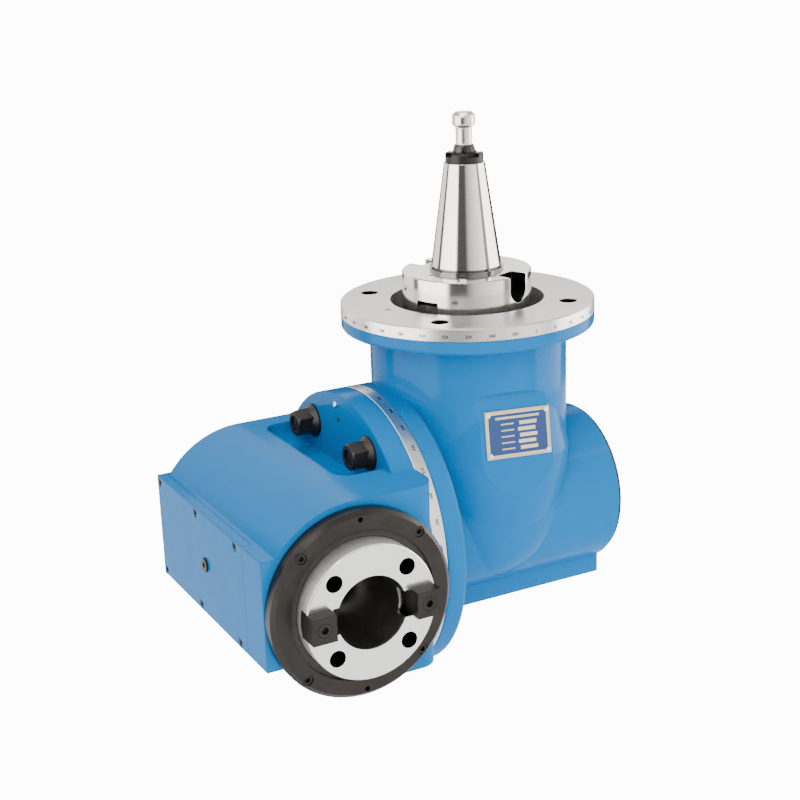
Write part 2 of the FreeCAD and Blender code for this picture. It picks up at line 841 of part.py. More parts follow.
def drive_collar(screws):
    """Driving collar with two key slots above and two notches below."""
    low, high = S.collar_bottom, S.collar_top
    blank = turned("collar_blank", (
        (S.shank_spigot_rad, low),
        (S.collar_rad - 1, low),
        (S.collar_rad, low + 1),
        (S.collar_rad, high - 1),
        (S.collar_rad - 1, high),
        (S.shank_spigot_rad, high),
    ))
    tools = []
    half = S.collar_slot_wide / 2
    centre = S.collar_slot_floor + half
    for i, turn in enumerate((COLLAR_TURN, COLLAR_TURN + 180)):
        round_floor = doc.addObject("Part::Cylinder", f"slot_floor_{i}")
        bind(round_floor, "Radius", half)
        bind(round_floor, "Height", S.collar_rad + 1 - S.collar_slot_in)
        round_floor.Placement = radial(turn, S.collar_slot_in.number, centre.number)
        sides = doc.addObject("Part::Box", f"slot_sides_{i}")
        bind(sides, "Length", S.collar_rad + 1 - S.collar_slot_in)
        bind(sides, "Width", S.collar_slot_wide)
        bind(sides, "Height", high - centre + 1)
        sides.Placement = box_out(turn, S.collar_slot_in.number, half.number, centre.number)
        tools += [round_floor, sides]
        notch = doc.addObject("Part::Box", f"collar_notch_{i}")
        bind(notch, "Length", S.collar_notch_deep + 1)
        bind(notch, "Width", S.collar_slot_wide)
        bind(notch, "Height", S.collar_notch_top - low + 1)
        notch_in = S.collar_rad.number - S.collar_notch_deep.number
        notch.Placement = box_out(turn - 90, notch_in, half.number, low.number - 1)
        tools.append(notch)
    x, y = around(S.collar_pin_circle, COLLAR_TURN - 102.8)
    tools.append(rod("collar_pin_hole", S.collar_pin_rad, high - 12, high + 1, (x, y, 0)))
    node(cut("drive_collar", blank, *tools, screws), "drive_collar")


def radial(turn, start, height):
    """A placement whose Z looks outwards at an angle from a radius and a height."""
    out = FreeCAD.Rotation(V(0, 0, 1), turn)
    return FreeCAD.Placement(out.multVec(V(start, 0, height)), out.multiply(TURNED["X"]))


def box_out(turn, start, half, height):
    """A placement for a box that reaches outwards at an angle, centred on its width."""
    out = FreeCAD.Rotation(V(0, 0, 1), turn)
    return FreeCAD.Placement(out.multVec(V(start, -half, height)), out)


def taper_shank():
    """The 7 in 24 taper with its foot in the collar, its end ring and its pull stud."""
    top = S.gauge_height + S.taper_len
    foot = S.collar_top
    stud_low = top - S.stud_thread_len
    node(turned("taper_shank", (
        (0, S.collar_bottom + 10),
        (S.shank_spigot_rad, S.collar_bottom + 10),
        (S.shank_spigot_rad, foot),
        (S.shank_step_rad, foot),
        (S.shank_step_rad, foot + S.shank_step_thick),
        (S.shank_step_rad - 4, foot + S.shank_step_thick),
        (S.shank_step_rad - 4, S.gauge_height),
        (S.gauge_rad, S.gauge_height),
        (S.taper_small_rad, top),
        (S.stud_thread_rad, top),
        (S.stud_thread_rad, stud_low),
        (0, stud_low),
    )), "taper_shank")
    ring_top = top + S.end_ring_len
    ring = turned("end_ring_blank", (
        (S.stud_thread_rad, top),
        (S.end_ring_rad, top),
        (S.end_ring_rad, ring_top - 1),
        (S.end_ring_rad - 1, ring_top),
        (S.stud_thread_rad, ring_top),
    ))
    half = S.end_ring_slot_wide / 2
    floor = ring_top - S.end_ring_slot_deep
    reach = S.end_ring_rad + 1
    slots = [
        block("end_slot_a", (S.stud_flange_rad + 1, -half, floor), (reach, half, ring_top + 1)),
        block("end_slot_b", (-reach, -half, floor), (-S.stud_flange_rad - 1, half, ring_top + 1)),
        block("end_slot_c", (-half, S.stud_flange_rad + 1, floor), (half, reach, ring_top + 1)),
        block("end_slot_d", (-half, -reach, floor), (half, -S.stud_flange_rad - 1, ring_top + 1)),
    ]
    node(cut("shank_end_ring", ring, *slots), "shank_end_ring")
    neck_low = ring_top + S.stud_flange_len
    head_low = neck_low + S.stud_neck_len
    head_top = head_low + S.stud_head_len
    node(turned("pull_stud", (
        (0, stud_low),
        (S.stud_thread_rad, stud_low),
        (S.stud_thread_rad, ring_top),
        (S.stud_flange_rad, ring_top),
        (S.stud_flange_rad - 2, neck_low),
        (S.stud_neck_rad, neck_low),
        (S.stud_neck_rad, head_low - 2),
        (S.stud_head_rad, head_low + 1),
        (S.stud_head_rad, head_top - 3),
        (S.stud_head_rad - 3, head_top),
        (0, head_top),
    )), "pull_stud")


def bearing(name, centre, along, starts, wide, bore, out):
    """Roller bearings of one size on one axis: outer rings, inner rings and rollers."""
    depth = out - bore
    inner_out = bore + depth * 0.28
    outer_in = out - depth * 0.28
    roller = depth * 0.44 / 2 - 0.2
    middle = inner_out + roller + 0.05
    for part, low, high in (("outer_rings", outer_in, out), ("inner_rings", bore, inner_out)):
        ring = cut(f"{name}_{part}_one", rod(f"{name}_{part}_out", high, 0, wide),
                   rod(f"{name}_{part}_in", low, -1, wide + 1))
        places = [bearing_spot(centre, along, start) for start in starts]
        group(f"{name}_{part}", ring, places)
    one = rod(f"{name}_roller", roller, wide * 0.15, wide * 0.85)
    places = []
    for start in starts:
        for i in range(ROLLERS):
            x, y = around(middle, i * 360 / ROLLERS)
            base = bearing_spot(centre, along, start)
            places.append(base.multiply(FreeCAD.Placement(V(x.number, y.number, 0), TURNED["Z"])))
    group(f"{name}_rollers", one, places)


def bearing_spot(centre, along, start):
    at = list(centre)
    at["XYZ".index(along)] = dim(start) + at["XYZ".index(along)]
    return spot(at, along)


def flank_turn(rad, base_rad, pitch_turn):
    """Half angle of a tooth at a radius of its involute."""
    lean = math.acos(min(1.0, base_rad / rad))
    return pitch_turn + involute(PRESSURE_ANGLE) - involute(lean)


def involute(angle):
    return math.tan(angle) - angle


def tooth_gap(turn):
    """The gap between two teeth, which narrows towards the apex at the origin."""
    pitch = S.pitch_rad.number
    virtual = pitch * math.sqrt(2)
    teeth = TEETH * math.sqrt(2)
    base = virtual * math.cos(PRESSURE_ANGLE)
    tooth_half = math.pi / (2 * teeth) - S.tooth_slack.number / (2 * virtual)
    low = virtual - S.tooth_root.number
    high = virtual + S.tooth_tip.number
    heights = [low, max(base, low + 0.3), virtual, high, high + 1.5]
    side = []
    for rad in heights:
        half = math.pi / teeth - flank_turn(max(rad, base), base, tooth_half)
        side.append((rad * math.sin(half), rad * math.cos(half) - virtual))
    section = [(-u, w) for u, w in reversed(side)] + side
    across = V(-math.sin(turn), math.cos(turn), 0)
    outward = V(math.cos(turn), math.sin(turn), 0)
    corners = []
    for u, w in section:
        lean = w / math.sqrt(2)
        corners.append(outward * (pitch + lean) + across * u + V(0, 0, pitch - lean))
    toe = 1 - S.gear_face.number / virtual
    rings = [[corner * scale for corner in corners] for scale in (toe * 0.9, 1.08)]
    return closed_prism(*rings)


def closed_prism(near, far):
    """A solid between two like polygons."""
    count = len(near)
    faces = [polygon(near), polygon(list(reversed(far)))]
    for i in range(count):
        j = (i + 1) % count
        faces.append(polygon([near[i], far[i], far[j], near[j]]))
    solid = Part.makeSolid(Part.makeShell(faces))
    if solid.Volume < 0:
        solid.reverse()
    return solid


def polygon(corners):
    return Part.Face(Part.makePolygon(corners + [corners[0]]))


def bevel_gear(name, bore, hub_end, at, along, first_turn):
    """A straight-toothed mitre gear whose apex is at a point."""
    toe = GEAR_TOE
    tip = S.tooth_tip / math.sqrt(2)
    foot = GEAR_BACK - S.pitch_rad
    hub_rad = S.gear_hub_rad + bore - S.cross_rad
    blank = turned(name + "_blank", (
        (toe * (S.pitch_rad + tip), toe * (S.pitch_rad - tip)),
        (S.pitch_rad + tip, S.pitch_rad - tip),
        (S.pitch_rad - foot, GEAR_BACK),
        (hub_rad, GEAR_BACK),
        (hub_rad, hub_end),
        (bore, hub_end),
        (bore, TOE_FACE),
        (toe * (S.pitch_rad - foot), TOE_FACE),
    ))
    gaps = doc.addObject("Part::Feature", name + "_gaps")
    step = 2 * math.pi / TEETH
    gaps.Shape = Part.makeCompound(
        [tooth_gap(math.radians(first_turn) + i * step) for i in range(TEETH)]
    )
    gear = cut(name, blank, gaps)
    place(gear, at, along)
    return gear


def cross_shaft():
    """Shaft along the swivel axis, with a mitre gear for each housing."""
    shoulder = S.cross_rad + 7.5
    body = turned("cross_shaft_blank", (
        (0, CROSS_TIP),
        (S.cross_rad, CROSS_TIP),
        (S.cross_rad, LEFT_BEARING_END),
        (shoulder, LEFT_BEARING_END),
        (shoulder, LEFT_BEARING_END + 8),
        (S.cross_rad, LEFT_BEARING_END + 8),
        (S.cross_rad, TOE_FACE - 8),
        (shoulder, TOE_FACE - 8),
        (shoulder, TOE_FACE),
        (S.cross_rad, TOE_FACE),
        (S.cross_rad, RIGHT_BEARING_END + S.shaft_nut_thick),
        (0, RIGHT_BEARING_END + S.shaft_nut_thick),
    ), CROSS_AT, "X")
    right_key = block("cross_gear_key_right", *key_box(CROSS_AT, "X", S.cross_rad))
    left_key = block("cross_gear_key_left", *key_box(SPINDLE_AT, "X", S.cross_rad))
    keys = doc.addObject("Part::Compound", "cross_gear_keys")
    keys.Links = [right_key, left_key]
    node(keys, "cross_gear_keys")
    node(cut("cross_shaft", body, right_key, left_key), "cross_shaft")
    right = bevel_gear("right_gear_blank", S.cross_rad, S.cross_brg_right, CROSS_AT, "X", 7.5)
    node(cut("cross_gear_right", right, right_key), "cross_gear_right")
    hub_end = S.left_hub_end
    left = bevel_gear("left_gear_blank", S.cross_rad, hub_end, SPINDLE_AT, "X", 7.5)
    node(cut("cross_gear_left", left, left_key), "cross_gear_left")
    sleeve = cut(
        "cross_spacer",
        rod("spacer_out", S.cross_rad + 6, SPINDLE_X + hub_end, S.cross_brg_left, CROSS_AT, "X"),
        rod("spacer_in", S.cross_rad, SPINDLE_X + hub_end - 1, S.cross_brg_left + 1,
            CROSS_AT, "X"),
    )
    node(sleeve, "cross_spacer")
    locknuts("cross_locknuts", [
        ((CROSS_TIP, 0, AXIS_Z), "X"),
        ((RIGHT_BEARING_END, 0, AXIS_Z), "X"),
    ])
    bearing("cross_bearing", CROSS_AT, "X", (S.cross_brg_left, S.cross_brg_right),
            S.cross_brg_wide, S.cross_rad, S.cross_brg_out)


def drum_end():
    """Bearing carrier at the drum's open end, and the thin cover over it."""
    out = S.cross_brg_out
    node(turned("cross_carrier", (
        (out - 5, S.carrier_start),
        (S.drum_bore_rad, S.carrier_start),
        (S.drum_bore_rad, S.drum_end),
        (out + 7, S.drum_end),
        (out + 7, RIGHT_BEARING_END),
        (out, RIGHT_BEARING_END),
        (out, S.cross_brg_right),
        (out - 5, S.cross_brg_right),
    ), CROSS_AT, "X"), "cross_carrier")
    cover = rod("end_cover_disc", S.cover_rad, S.drum_end, S.drum_end + S.cover_thick,
                CROSS_AT, "X")
    screw = socket_screw("end_cover_screw", 2.5, 12)
    circle = (S.drum_bore_rad + S.drum_rad) / 2
    places = []
    for turn in SIX:
        y, z = around(circle, turn + 30)
        places.append(spot((S.drum_end + S.cover_thick - 5.3, y, AXIS_Z + z), "X"))
    screws = group("end_cover_screws", screw, places)
    end_wells = wells("end_wells", places, 4.3, 6)
    node(cut("drum_end_cover", cover, screws, end_wells), "drum_end_cover")
    return end_wells


def swivel_rings():
    """Graduated outer ring and inner ring, which leave the neck of the tee slot."""
    outer = turned("scale_ring_blank", (
        (SCALE_INNER_RAD, 0),
        (S.disc_rad - S.scale_bevel, 0),
        (S.disc_rad, S.scale_bevel),
        (S.disc_rad, S.scale_thick - S.scale_bevel),
        (S.disc_rad - S.scale_bevel, S.scale_thick),
        (SCALE_INNER_RAD, S.scale_thick),
    ), (SCALE_FRONT, 0, AXIS_Z), "X")
    inner = turned("slot_ring_blank", (
        (S.pilot_rad, 0),
        (SLOT_INNER_RAD, 0),
        (SLOT_INNER_RAD, S.scale_thick),
        (S.pilot_rad, S.scale_thick),
    ), (SCALE_FRONT, 0, AXIS_Z), "X")
    screw = socket_screw("scale_screw", 3, 18)
    places = []
    outer_circle = (SCALE_INNER_RAD + S.disc_rad) / 2 + 1.5
    inner_circle = (S.pilot_rad + SLOT_INNER_RAD) / 2 - 2
    for circle in (outer_circle, inner_circle):
        for turn in SIX:
            y, z = around(circle, turn)
            places.append(spot((SCALE_FRONT + 6.5, y, AXIS_Z + z), "X", flip=True))
    screws = group("scale_screws", screw, places)
    scale_wells = wells("scale_wells", places, 5.2, 6.6)
    node(cut("graduated_ring", outer, screws, scale_wells), "graduated_ring")
    node(cut("slot_ring", inner, screws, scale_wells), "slot_ring")


def spindle_housing():
    """Casting round the spindle, with its swivel flange, pilot and nut recess."""
    axis_top = AXIS_Z + S.house_rad
    front, back = S.house_front, S.house_back
    shoulder = common(
        "upper_round",
        rod("upper_barrel", S.house_rad, front, back, SPINDLE_AT, "Y"),
        block("upper_corner", (SPINDLE_X - S.house_rad, front, AXIS_Z), (SPINDLE_X, back, axis_top)),
    )
    low = AXIS_Z - S.house_bottom
    lower_round = common(
        "lower_round",
        rod("lower_barrel", S.house_bottom, front, back, SPINDLE_AT, "Y"),
        block("lower_corner", (SPINDLE_X - S.house_bottom, front, low), (SPINDLE_X, back, AXIS_Z)),
    )
    right_half = block("right_half", (SPINDLE_X, front, low), (SWIVEL_FACE, back, axis_top))
    solid = fuse(
        "spindle_housing_blank",
        shoulder,
        lower_round,
        rounded("front_corner", right_half, S.corner_round, front_corner_edge),
        block("left_back", (SIDE_SEAT_X, front, AXIS_Z - S.side_down),
              (SPINDLE_X, back, AXIS_Z + S.side_up)),
        block("left_front", (-S.side_edge, front, AXIS_Z - S.side_down),
              (SPINDLE_X, S.side_front, AXIS_Z + S.side_up)),
        rod("swivel_flange", S.disc_rad, SWIVEL_BACK, SWIVEL_FACE, CROSS_AT, "X"),
        rod("pilot", S.pilot_rad - S.run_gap, SWIVEL_FACE, SWIVEL_FACE + S.pilot_len,
            CROSS_AT, "X"),
    )
    recess_block = block(
        "recess_block",
        (SPINDLE_X + S.recess_left, S.recess_front, AXIS_Z + S.recess_floor),
        (SWIVEL_BACK, S.recess_back, axis_top + 30),
    )
    recess = rounded("recess", recess_block, S.recess_round, recess_edge)
    pilot_end = SWIVEL_FACE + S.pilot_len
    opening = block("side_opening", (SIDE_SEAT_X, -75, AXIS_Z - 34), (SPINDLE_X, 75, AXIS_Z + 34))
    tools = [
        recess,
        opening,
        block("front_side_cut", (-S.side_edge - 20, front - 1, AXIS_Z - S.side_edge),
              (-S.side_edge, S.side_front, AXIS_Z + S.side_edge)),
        block("cover_seat_cut", (-S.side_edge - 20, S.side_front, AXIS_Z - S.side_edge),
              (SIDE_SEAT_X, back + 1, AXIS_Z + S.side_edge)),
        rod("front_bore", S.front_brg_out, front, S.front_seat, SPINDLE_AT, "Y"),
        rod("gear_room", S.gear_room_rad, S.front_seat, S.rear_brg_start, SPINDLE_AT, "Y"),
        rod("rear_bore", S.rear_brg_out, S.rear_brg_start, back, SPINDLE_AT, "Y"),
        rod("rear_cover_seat", S.rear_cover_rad, back - S.rear_cover_thick, back,
            SPINDLE_AT, "Y"),
        rod("cross_room", S.gear_room_rad, SPINDLE_X, pilot_end, CROSS_AT, "X"),
    ]
    for i, (y, z) in enumerate(tee_places()):
        tools.append(rod(f"tee_hole_{i}", S.tee_bolt_rad + 0.5, SWIVEL_BACK, SWIVEL_FACE,
                         (0, y, z), "X"))
        if z.number < AXIS_Z.number:
            tools.append(rod(f"nut_relief_{i}", S.nut_flange_rad + 2, SWIVEL_BACK - 32,
                             SWIVEL_BACK, (0, y, z), "X"))
    names = ("side_cover_screws", "front_cover_screws", "rear_cover_screws")
    screws = [thing for thing in NODES if thing.Label in names]
    node(cut("spindle_housing", solid, *tools, *screws), "spindle_housing")


def tee_places():
    """Where the four clamping bolts stand about the swivel axis."""
    lean = S.tee_half_angle.number
    places = []
    for turn in (90 - lean, 90 + lean, 270 - lean, 270 + lean):
        y, z = around(TEE_CIRCLE, turn)
        places.append((y, AXIS_Z + z))
    return places


def front_corner_edge(edge):
    """The upright edge between the front face and the swivel face."""
    box = edge.BoundBox
    upright = box.XLength < 0.01 and box.YLength < 0.01
    at_face = abs(box.XMin - SWIVEL_FACE.number) < 0.01
    return upright and at_face and abs(box.YMin - S.house_front.number) < 0.01


def recess_edge(edge):
    """Every edge of the recess but those of its open top and of the flange side."""
    box = edge.BoundBox
    on_top = box.ZMin > AXIS_Z.number + S.house_rad.number
    on_flange = abs(box.XMin - SWIVEL_BACK.number) < 0.01
    return not on_top and not on_flange


def clamps():
    """Tee bolts in the slot and their flange nuts."""
    bolts = doc.addObject("Part::Feature", "tee_bolts")
    head_back = DISC_FRONT + S.run_gap
    side = S.tee_head_side.number
    length = (head_back - SWIVEL_BACK + S.tee_bolt_proud).number
    solids = []
    nuts = []
    head = Part.makeBox(side, side, S.tee_head_thick.number, V(-side / 2, -side / 2, 0))
    shank = Part.makeCylinder(S.tee_bolt_rad.number, length, V(0, 0, -length))
    bolt = head.fuse(shank).removeSplitter()
    flats = S.nut_flats.number
    prism = Part.Face(Part.makePolygon([
        V(flats / math.sqrt(3) * math.cos(i * math.pi / 3),
          flats / math.sqrt(3) * math.sin(i * math.pi / 3), 0) for i in range(7)
    ])).extrude(V(0, 0, S.nut_height.number))
    prism = prism.common(bevelled_rod(flats / math.sqrt(3), S.nut_height.number,
                                      S.nut_bevel.number))
    flange_rad, flange_thick = S.nut_flange_rad.number, S.nut_flange_thick.number
    flange = Part.makeCylinder(flange_rad, flange_thick)
    rise = S.nut_cone_high.number - flange_thick
    cone = Part.makeCone(flange_rad, flats / 2, rise, V(0, 0, flange_thick))
    hole = Part.makeCylinder(S.tee_bolt_rad.number, S.nut_height.number)
    nut = prism.fuse([flange, cone]).cut(hole).removeSplitter()
    for y, z in tee_places():
        turn = math.degrees(math.atan2(z.number - AXIS_Z.number, y.number))
        about_x = FreeCAD.Rotation(V(1, 0, 0), turn)
        at = V(head_back.number, y.number, z.number)
        one = bolt.copy()
        one.Placement = FreeCAD.Placement(at, about_x.multiply(TURNED["X"]))
        solids.append(one)
        at = V(SWIVEL_BACK.number, y.number, z.number)
        one = nut.copy()
        one.Placement = FreeCAD.Placement(at, TURNED["X"].multiply(FreeCAD.Rotation(V(1, 0, 0), 180)))
        nuts.append(one)
    bolts.Shape = Part.makeCompound([solid.copy() for solid in solids])
    node(bolts, "tee_bolts")
    flange_nuts = doc.addObject("Part::Feature", "flange_nuts")
    flange_nuts.Shape = Part.makeCompound(nuts)
    node(flange_nuts, "flange_nuts")


def bevelled_rod(rad, high, bevel):
    """A cylinder that narrows at its upper end."""
    low = Part.makeCylinder(rad, high - bevel)
    return low.fuse(Part.makeCone(rad, rad - bevel, bevel, V(0, 0, high - bevel)))


def side_cover():
    """Flat cover on the left side, its six screws and its plug."""
    seat = SIDE_SEAT_X
    low, high = AXIS_Z - S.side_down, AXIS_Z + S.side_up
    plate = block("side_plate", (-S.side_edge, S.side_front, low), (seat, S.house_back, high))
    screw = socket_screw("side_screw", 2.5, 14)
    inset = S.side_hole_inset
    places = []
    for z in (low + inset - 1, high - inset):
        for i in range(3):
            y = S.side_first_hole - S.side_hole_pitch * i
            places.append(spot((-S.side_edge + 5.5, y, z), "X", flip=True))
    screws = group("side_cover_screws", screw, places)
    side_wells = wells("side_wells", places, 4.3, 6)
    plug_at = (-S.side_edge, S.plug_y, AXIS_Z + S.plug_up)
    plug_hole = rod("plug_hole", 5, -S.side_edge, seat, (0, S.plug_y, AXIS_Z + S.plug_up), "X")
    stem = rod("plug_stem", 5, 0, S.side_cover_thick)
    cap = rod("plug_cap", 7, -2, 0)
    hexagon = doc.addObject("Part::Prism", "plug_hexagon")
    hexagon.Polygon = 6
    hexagon.Circumradius = 3
    hexagon.Height = 6
    hexagon.Placement.Base.z = -3
    plug = cut("plug_one", fuse("plug_blank", stem, cap), hexagon)
    place(plug, plug_at, "X")
    node(plug, "oil_plug")
    node(cut("side_cover", plate, screws, side_wells, plug_hole), "side_cover")


def front_cover():
    """Black ring round the nose, its screws and the seal inside it."""
    seat = S.house_front
    face = seat - S.front_cover_thick
    bearings = S.front_seat - S.front_brg_wide * 2
    ring = turned("front_ring_blank", (
        (S.front_cover_bore, bearings),
        (S.front_cover_bore, face),
        (S.front_cover_rad - S.front_cover_bevel, face),
        (S.front_cover_rad, face + S.front_cover_bevel),
        (S.front_cover_rad, seat),
        (S.front_brg_out, seat),
        (S.front_brg_out, bearings),
    ), SPINDLE_AT, "Y")
    screw = socket_screw("front_screw", 3, 22)
    places = []
    for turn in (45, 135, 225, 315):
        x, z = around(S.front_screw_circle, turn)
        places.append(spot((SPINDLE_X + x, face + 7, AXIS_Z + z), "Y", flip=True))
    screws = group("front_cover_screws", screw, places)
    tools = [screws, wells("front_wells", places, 5.2, 8)]
    for i, turn in enumerate((90, 270)):
        x, z = around(S.front_screw_circle, turn)
        at = (SPINDLE_X + x, 0, AXIS_Z + z)
        tools.append(rod(f"jack_hole_{i}", S.jack_hole_rad, face, seat, at, "Y"))
    node(cut("front_cover", ring, *tools), "front_cover")
    seal_back = face + S.front_cover_bevel + S.seal_thick
    seal = cut(
        "nose_seal",
        rod("seal_out", S.front_cover_bore, face + S.front_cover_bevel, seal_back,
            SPINDLE_AT, "Y"),
        rod("seal_in", S.nose_rad + S.free_gap, face, seal_back + 1, SPINDLE_AT, "Y"),
    )
    node(seal, "nose_seal")


def rear_cover():
    """Cover sunk in the back of the spindle housing, open for a drawbar."""
    back = S.house_back
    inner = back - S.rear_cover_thick
    blank = turned("rear_cover_blank", (
        (S.rear_cover_bore, back),
        (S.rear_cover_rad, back),
        (S.rear_cover_rad, inner),
        (S.rear_brg_out, inner),
        (S.rear_brg_out, REAR_BEARING_END),
        (S.rear_brg_out - 5, REAR_BEARING_END),
        (S.rear_brg_out - 5, back - 3),
        (S.rear_cover_bore, back - 3),
    ), SPINDLE_AT, "Y")
    screw = socket_screw("rear_screw", 2.5, 14)
    circle = (S.rear_cover_rad + S.rear_brg_out) / 2
    places = []
    for turn in SIX:
        x, z = around(circle, turn)
        places.append(spot((SPINDLE_X + x, back - 5, AXIS_Z + z), "Y"))
    screws = group("rear_cover_screws", screw, places)
    node(cut("rear_cover", blank, screws, wells("rear_wells", places, 4.2, 6)), "rear_cover")


def spindle():
    """Spindle with the 50 taper socket, its keys, nuts, gear and bearings."""
    front = S.front_seat
    first = front - S.front_brg_wide * 2
    face = S.nose_face
    socket_end = face + S.socket_len
    nut_end = front + S.front_nut_thick
    blank = turned("spindle_blank", (
        (S.socket_rad, face),
        (S.nose_rad - 1, face),
        (S.nose_rad, face + 1),
        (S.nose_rad, S.nose_back),
        (S.front_rad + 7, S.nose_back),
        (S.front_rad + 7, first),
        (S.front_rad, first),
        (S.front_rad, nut_end),
        (S.spindle_rad, nut_end),
        (S.spindle_rad, REAR_BEARING_END + S.shaft_nut_thick),
        (S.drawbar_rad, REAR_BEARING_END + S.shaft_nut_thick),
        (S.drawbar_rad, socket_end),
        (S.socket_small_rad, socket_end),
    ), SPINDLE_AT, "Y")
    tools = []
    keys = []
    half = S.key_wide / 2
    for i, side in enumerate((-1, 1)):
        start, end = S.key_inner * side, S.key_outer * side
        low = (SPINDLE_X + min(start, end, key=lambda d: d.number), face - S.key_proud,
               AXIS_Z - half)
        high = (SPINDLE_X + max(start, end, key=lambda d: d.number), face + S.key_depth,
                AXIS_Z + half)
        keys.append(block(f"drive_key_blank_{i}", low, high))
        slot_low = (SPINDLE_X + (20 if side > 0 else -S.nose_rad - 1), face - 1, AXIS_Z - half)
        slot_high = (SPINDLE_X + (S.nose_rad + 1 if side > 0 else -20), face + S.key_depth,
                     AXIS_Z + half)
        tools.append(block(f"key_slot_{i}", slot_low, slot_high))
    middle = (S.key_inner + S.key_outer) / 2
    screw = socket_screw("key_screw", 4, 24)
    places = [
        spot((SPINDLE_X + middle * side, face - S.key_proud + 8, AXIS_Z), "Y", flip=True)
        for side in (-1, 1)
    ]
    screws = group("drive_key_screws", screw, places)
    key_wells = wells("key_wells", places, 6.8, 9)
    both = doc.addObject("Part::Compound", "drive_key_blanks")
    both.Links = keys
    node(cut("drive_keys", both, screws, key_wells), "drive_keys")
    for i, turn in enumerate((45, 135, 225, 315)):
        x, z = around(S.nose_hole_circle, turn)
        tools.append(rod(f"nose_hole_{i}", S.nose_hole_rad, face, face + S.nose_hole_deep,
                         (SPINDLE_X + x, 0, AXIS_Z + z), "Y"))
    gear_key = block("spindle_gear_key", *key_box(SPINDLE_AT, "Y", S.spindle_rad))
    node(gear_key, "spindle_gear_key")
    node(cut("spindle", blank, *tools, screws, gear_key), "spindle")
    gear = bevel_gear("spindle_gear_blank", S.spindle_rad, S.rear_brg_start, SPINDLE_AT, "Y", 0)
    node(cut("spindle_gear", gear, gear_key), "spindle_gear")
    for label, rad, out, start, thick in (
        ("spindle_front_nut", S.front_rad, S.front_nut_rad, front, S.front_nut_thick),
        ("spindle_rear_nut", S.spindle_rad, S.spindle_rad + 9, REAR_BEARING_END,
         S.shaft_nut_thick),
    ):
        nut = turned(label, (
            (rad, 0),
            (out, 0),
            (out, thick),
            (rad, thick),
        ), (SPINDLE_X, start, AXIS_Z), "Y")
        drill(nut, label + "_spanner", thick, thick / 2, 2, (rad + out) / 2, (0, 90, 180, 270))
        node(nut, label)
    bearing("front_bearing", SPINDLE_AT, "Y", (first, front - S.front_brg_wide),
            S.front_brg_wide, S.front_rad, S.front_brg_out)
    bearing("rear_bearing", SPINDLE_AT, "Y", (S.rear_brg_start,), S.rear_brg_wide,
            S.spindle_rad, S.rear_brg_out)


def main():
    mounting_ring()
    rivets = nameplate()
    input_cartridge()
    drive_collar(input_shaft())
    taper_shank()
    cross_shaft()
    end_wells = drum_end()
    swivel_rings()
    gear_housing(rivets, end_wells)
    side_cover()
    front_cover()
    rear_cover()
    spindle_housing()
    clamps()
    spindle()


main()


def finish():
    """Check every object, then write a file for each sub-part."""
    doc.recompute()
    for thing in doc.Objects:
        if "Invalid" in thing.State or "Error" in thing.State:
            raise RuntimeError(f"{thing.Name} is {thing.State}")
    os.makedirs("parts", exist_ok=True)
    for thing in NODES:
        if thing.Shape.isNull() or not thing.Shape.isValid():
            raise RuntimeError(f"{thing.Label} has a bad shape")
    for thing in NODES:
        thing.Shape.exportStep(f"parts/{thing.Label}.step")


finish()
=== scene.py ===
import math

import bmesh
import bpy
from bpy.props import FloatProperty, FloatVectorProperty, IntProperty, PointerProperty
from mathutils import Euler, Matrix, Vector


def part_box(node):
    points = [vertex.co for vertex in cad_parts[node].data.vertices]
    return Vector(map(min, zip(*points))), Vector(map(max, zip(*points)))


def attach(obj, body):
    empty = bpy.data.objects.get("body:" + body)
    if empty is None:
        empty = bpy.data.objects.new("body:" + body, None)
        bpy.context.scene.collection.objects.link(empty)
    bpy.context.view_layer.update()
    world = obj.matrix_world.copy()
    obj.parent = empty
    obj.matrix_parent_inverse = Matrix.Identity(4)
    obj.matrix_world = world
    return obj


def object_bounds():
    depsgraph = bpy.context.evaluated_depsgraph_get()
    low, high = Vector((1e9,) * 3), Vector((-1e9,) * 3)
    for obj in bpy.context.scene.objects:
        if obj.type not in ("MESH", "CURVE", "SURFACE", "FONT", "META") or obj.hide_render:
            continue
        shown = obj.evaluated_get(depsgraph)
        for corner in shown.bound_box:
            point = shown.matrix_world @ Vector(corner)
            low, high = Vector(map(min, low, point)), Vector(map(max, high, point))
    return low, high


bl_info = {
    "name": "Swivelling angle head",
    "version": (1, 0, 0),
    "blender": (4, 5, 0),
    "location": "View3D > Sidebar > Angle head",
    "description": "Finishes, small parts and studio for a two-way swivelling milling head",
    "category": "Object",
}

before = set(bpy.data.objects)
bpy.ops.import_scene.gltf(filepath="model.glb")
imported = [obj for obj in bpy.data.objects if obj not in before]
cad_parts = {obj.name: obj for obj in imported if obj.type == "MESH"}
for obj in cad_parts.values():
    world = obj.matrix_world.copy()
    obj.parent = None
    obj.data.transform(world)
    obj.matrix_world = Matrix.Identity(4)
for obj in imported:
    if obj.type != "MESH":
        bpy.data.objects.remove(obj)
CAD_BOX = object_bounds()

# Axes that the pieces turn about, in metres
SPINDLE_X = -0.2095
SWIVEL_Z = -0.221
SHANK_CENTRE = (0.0, 0.0, 0.0)
SWIVEL_CENTRE = (0.0, 0.0, SWIVEL_Z)
SPINDLE_CENTRE = (SPINDLE_X, 0.0, SWIVEL_Z)

# Brightness round the studio wall: share of a turn, with the camera's side at a half
WALL_BANDS = tuple(
    (0.5 + degrees / 360, (level, level * 0.98, level * 0.95))
    for degrees, level in (
        (-180, 0.01), (-150, 0.01), (-146, 0.3), (-110, 0.34), (-106, 0.015), (-97, 0.015),
        (-92, 0.9), (-40, 1.0), (-32, 0.015), (-4, 0.015), (8, 0.14), (62, 0.42), (66, 0.07),
        (76, 0.07), (80, 1.0), (126, 1.0), (132, 0.01), (180, 0.01),
    )
)

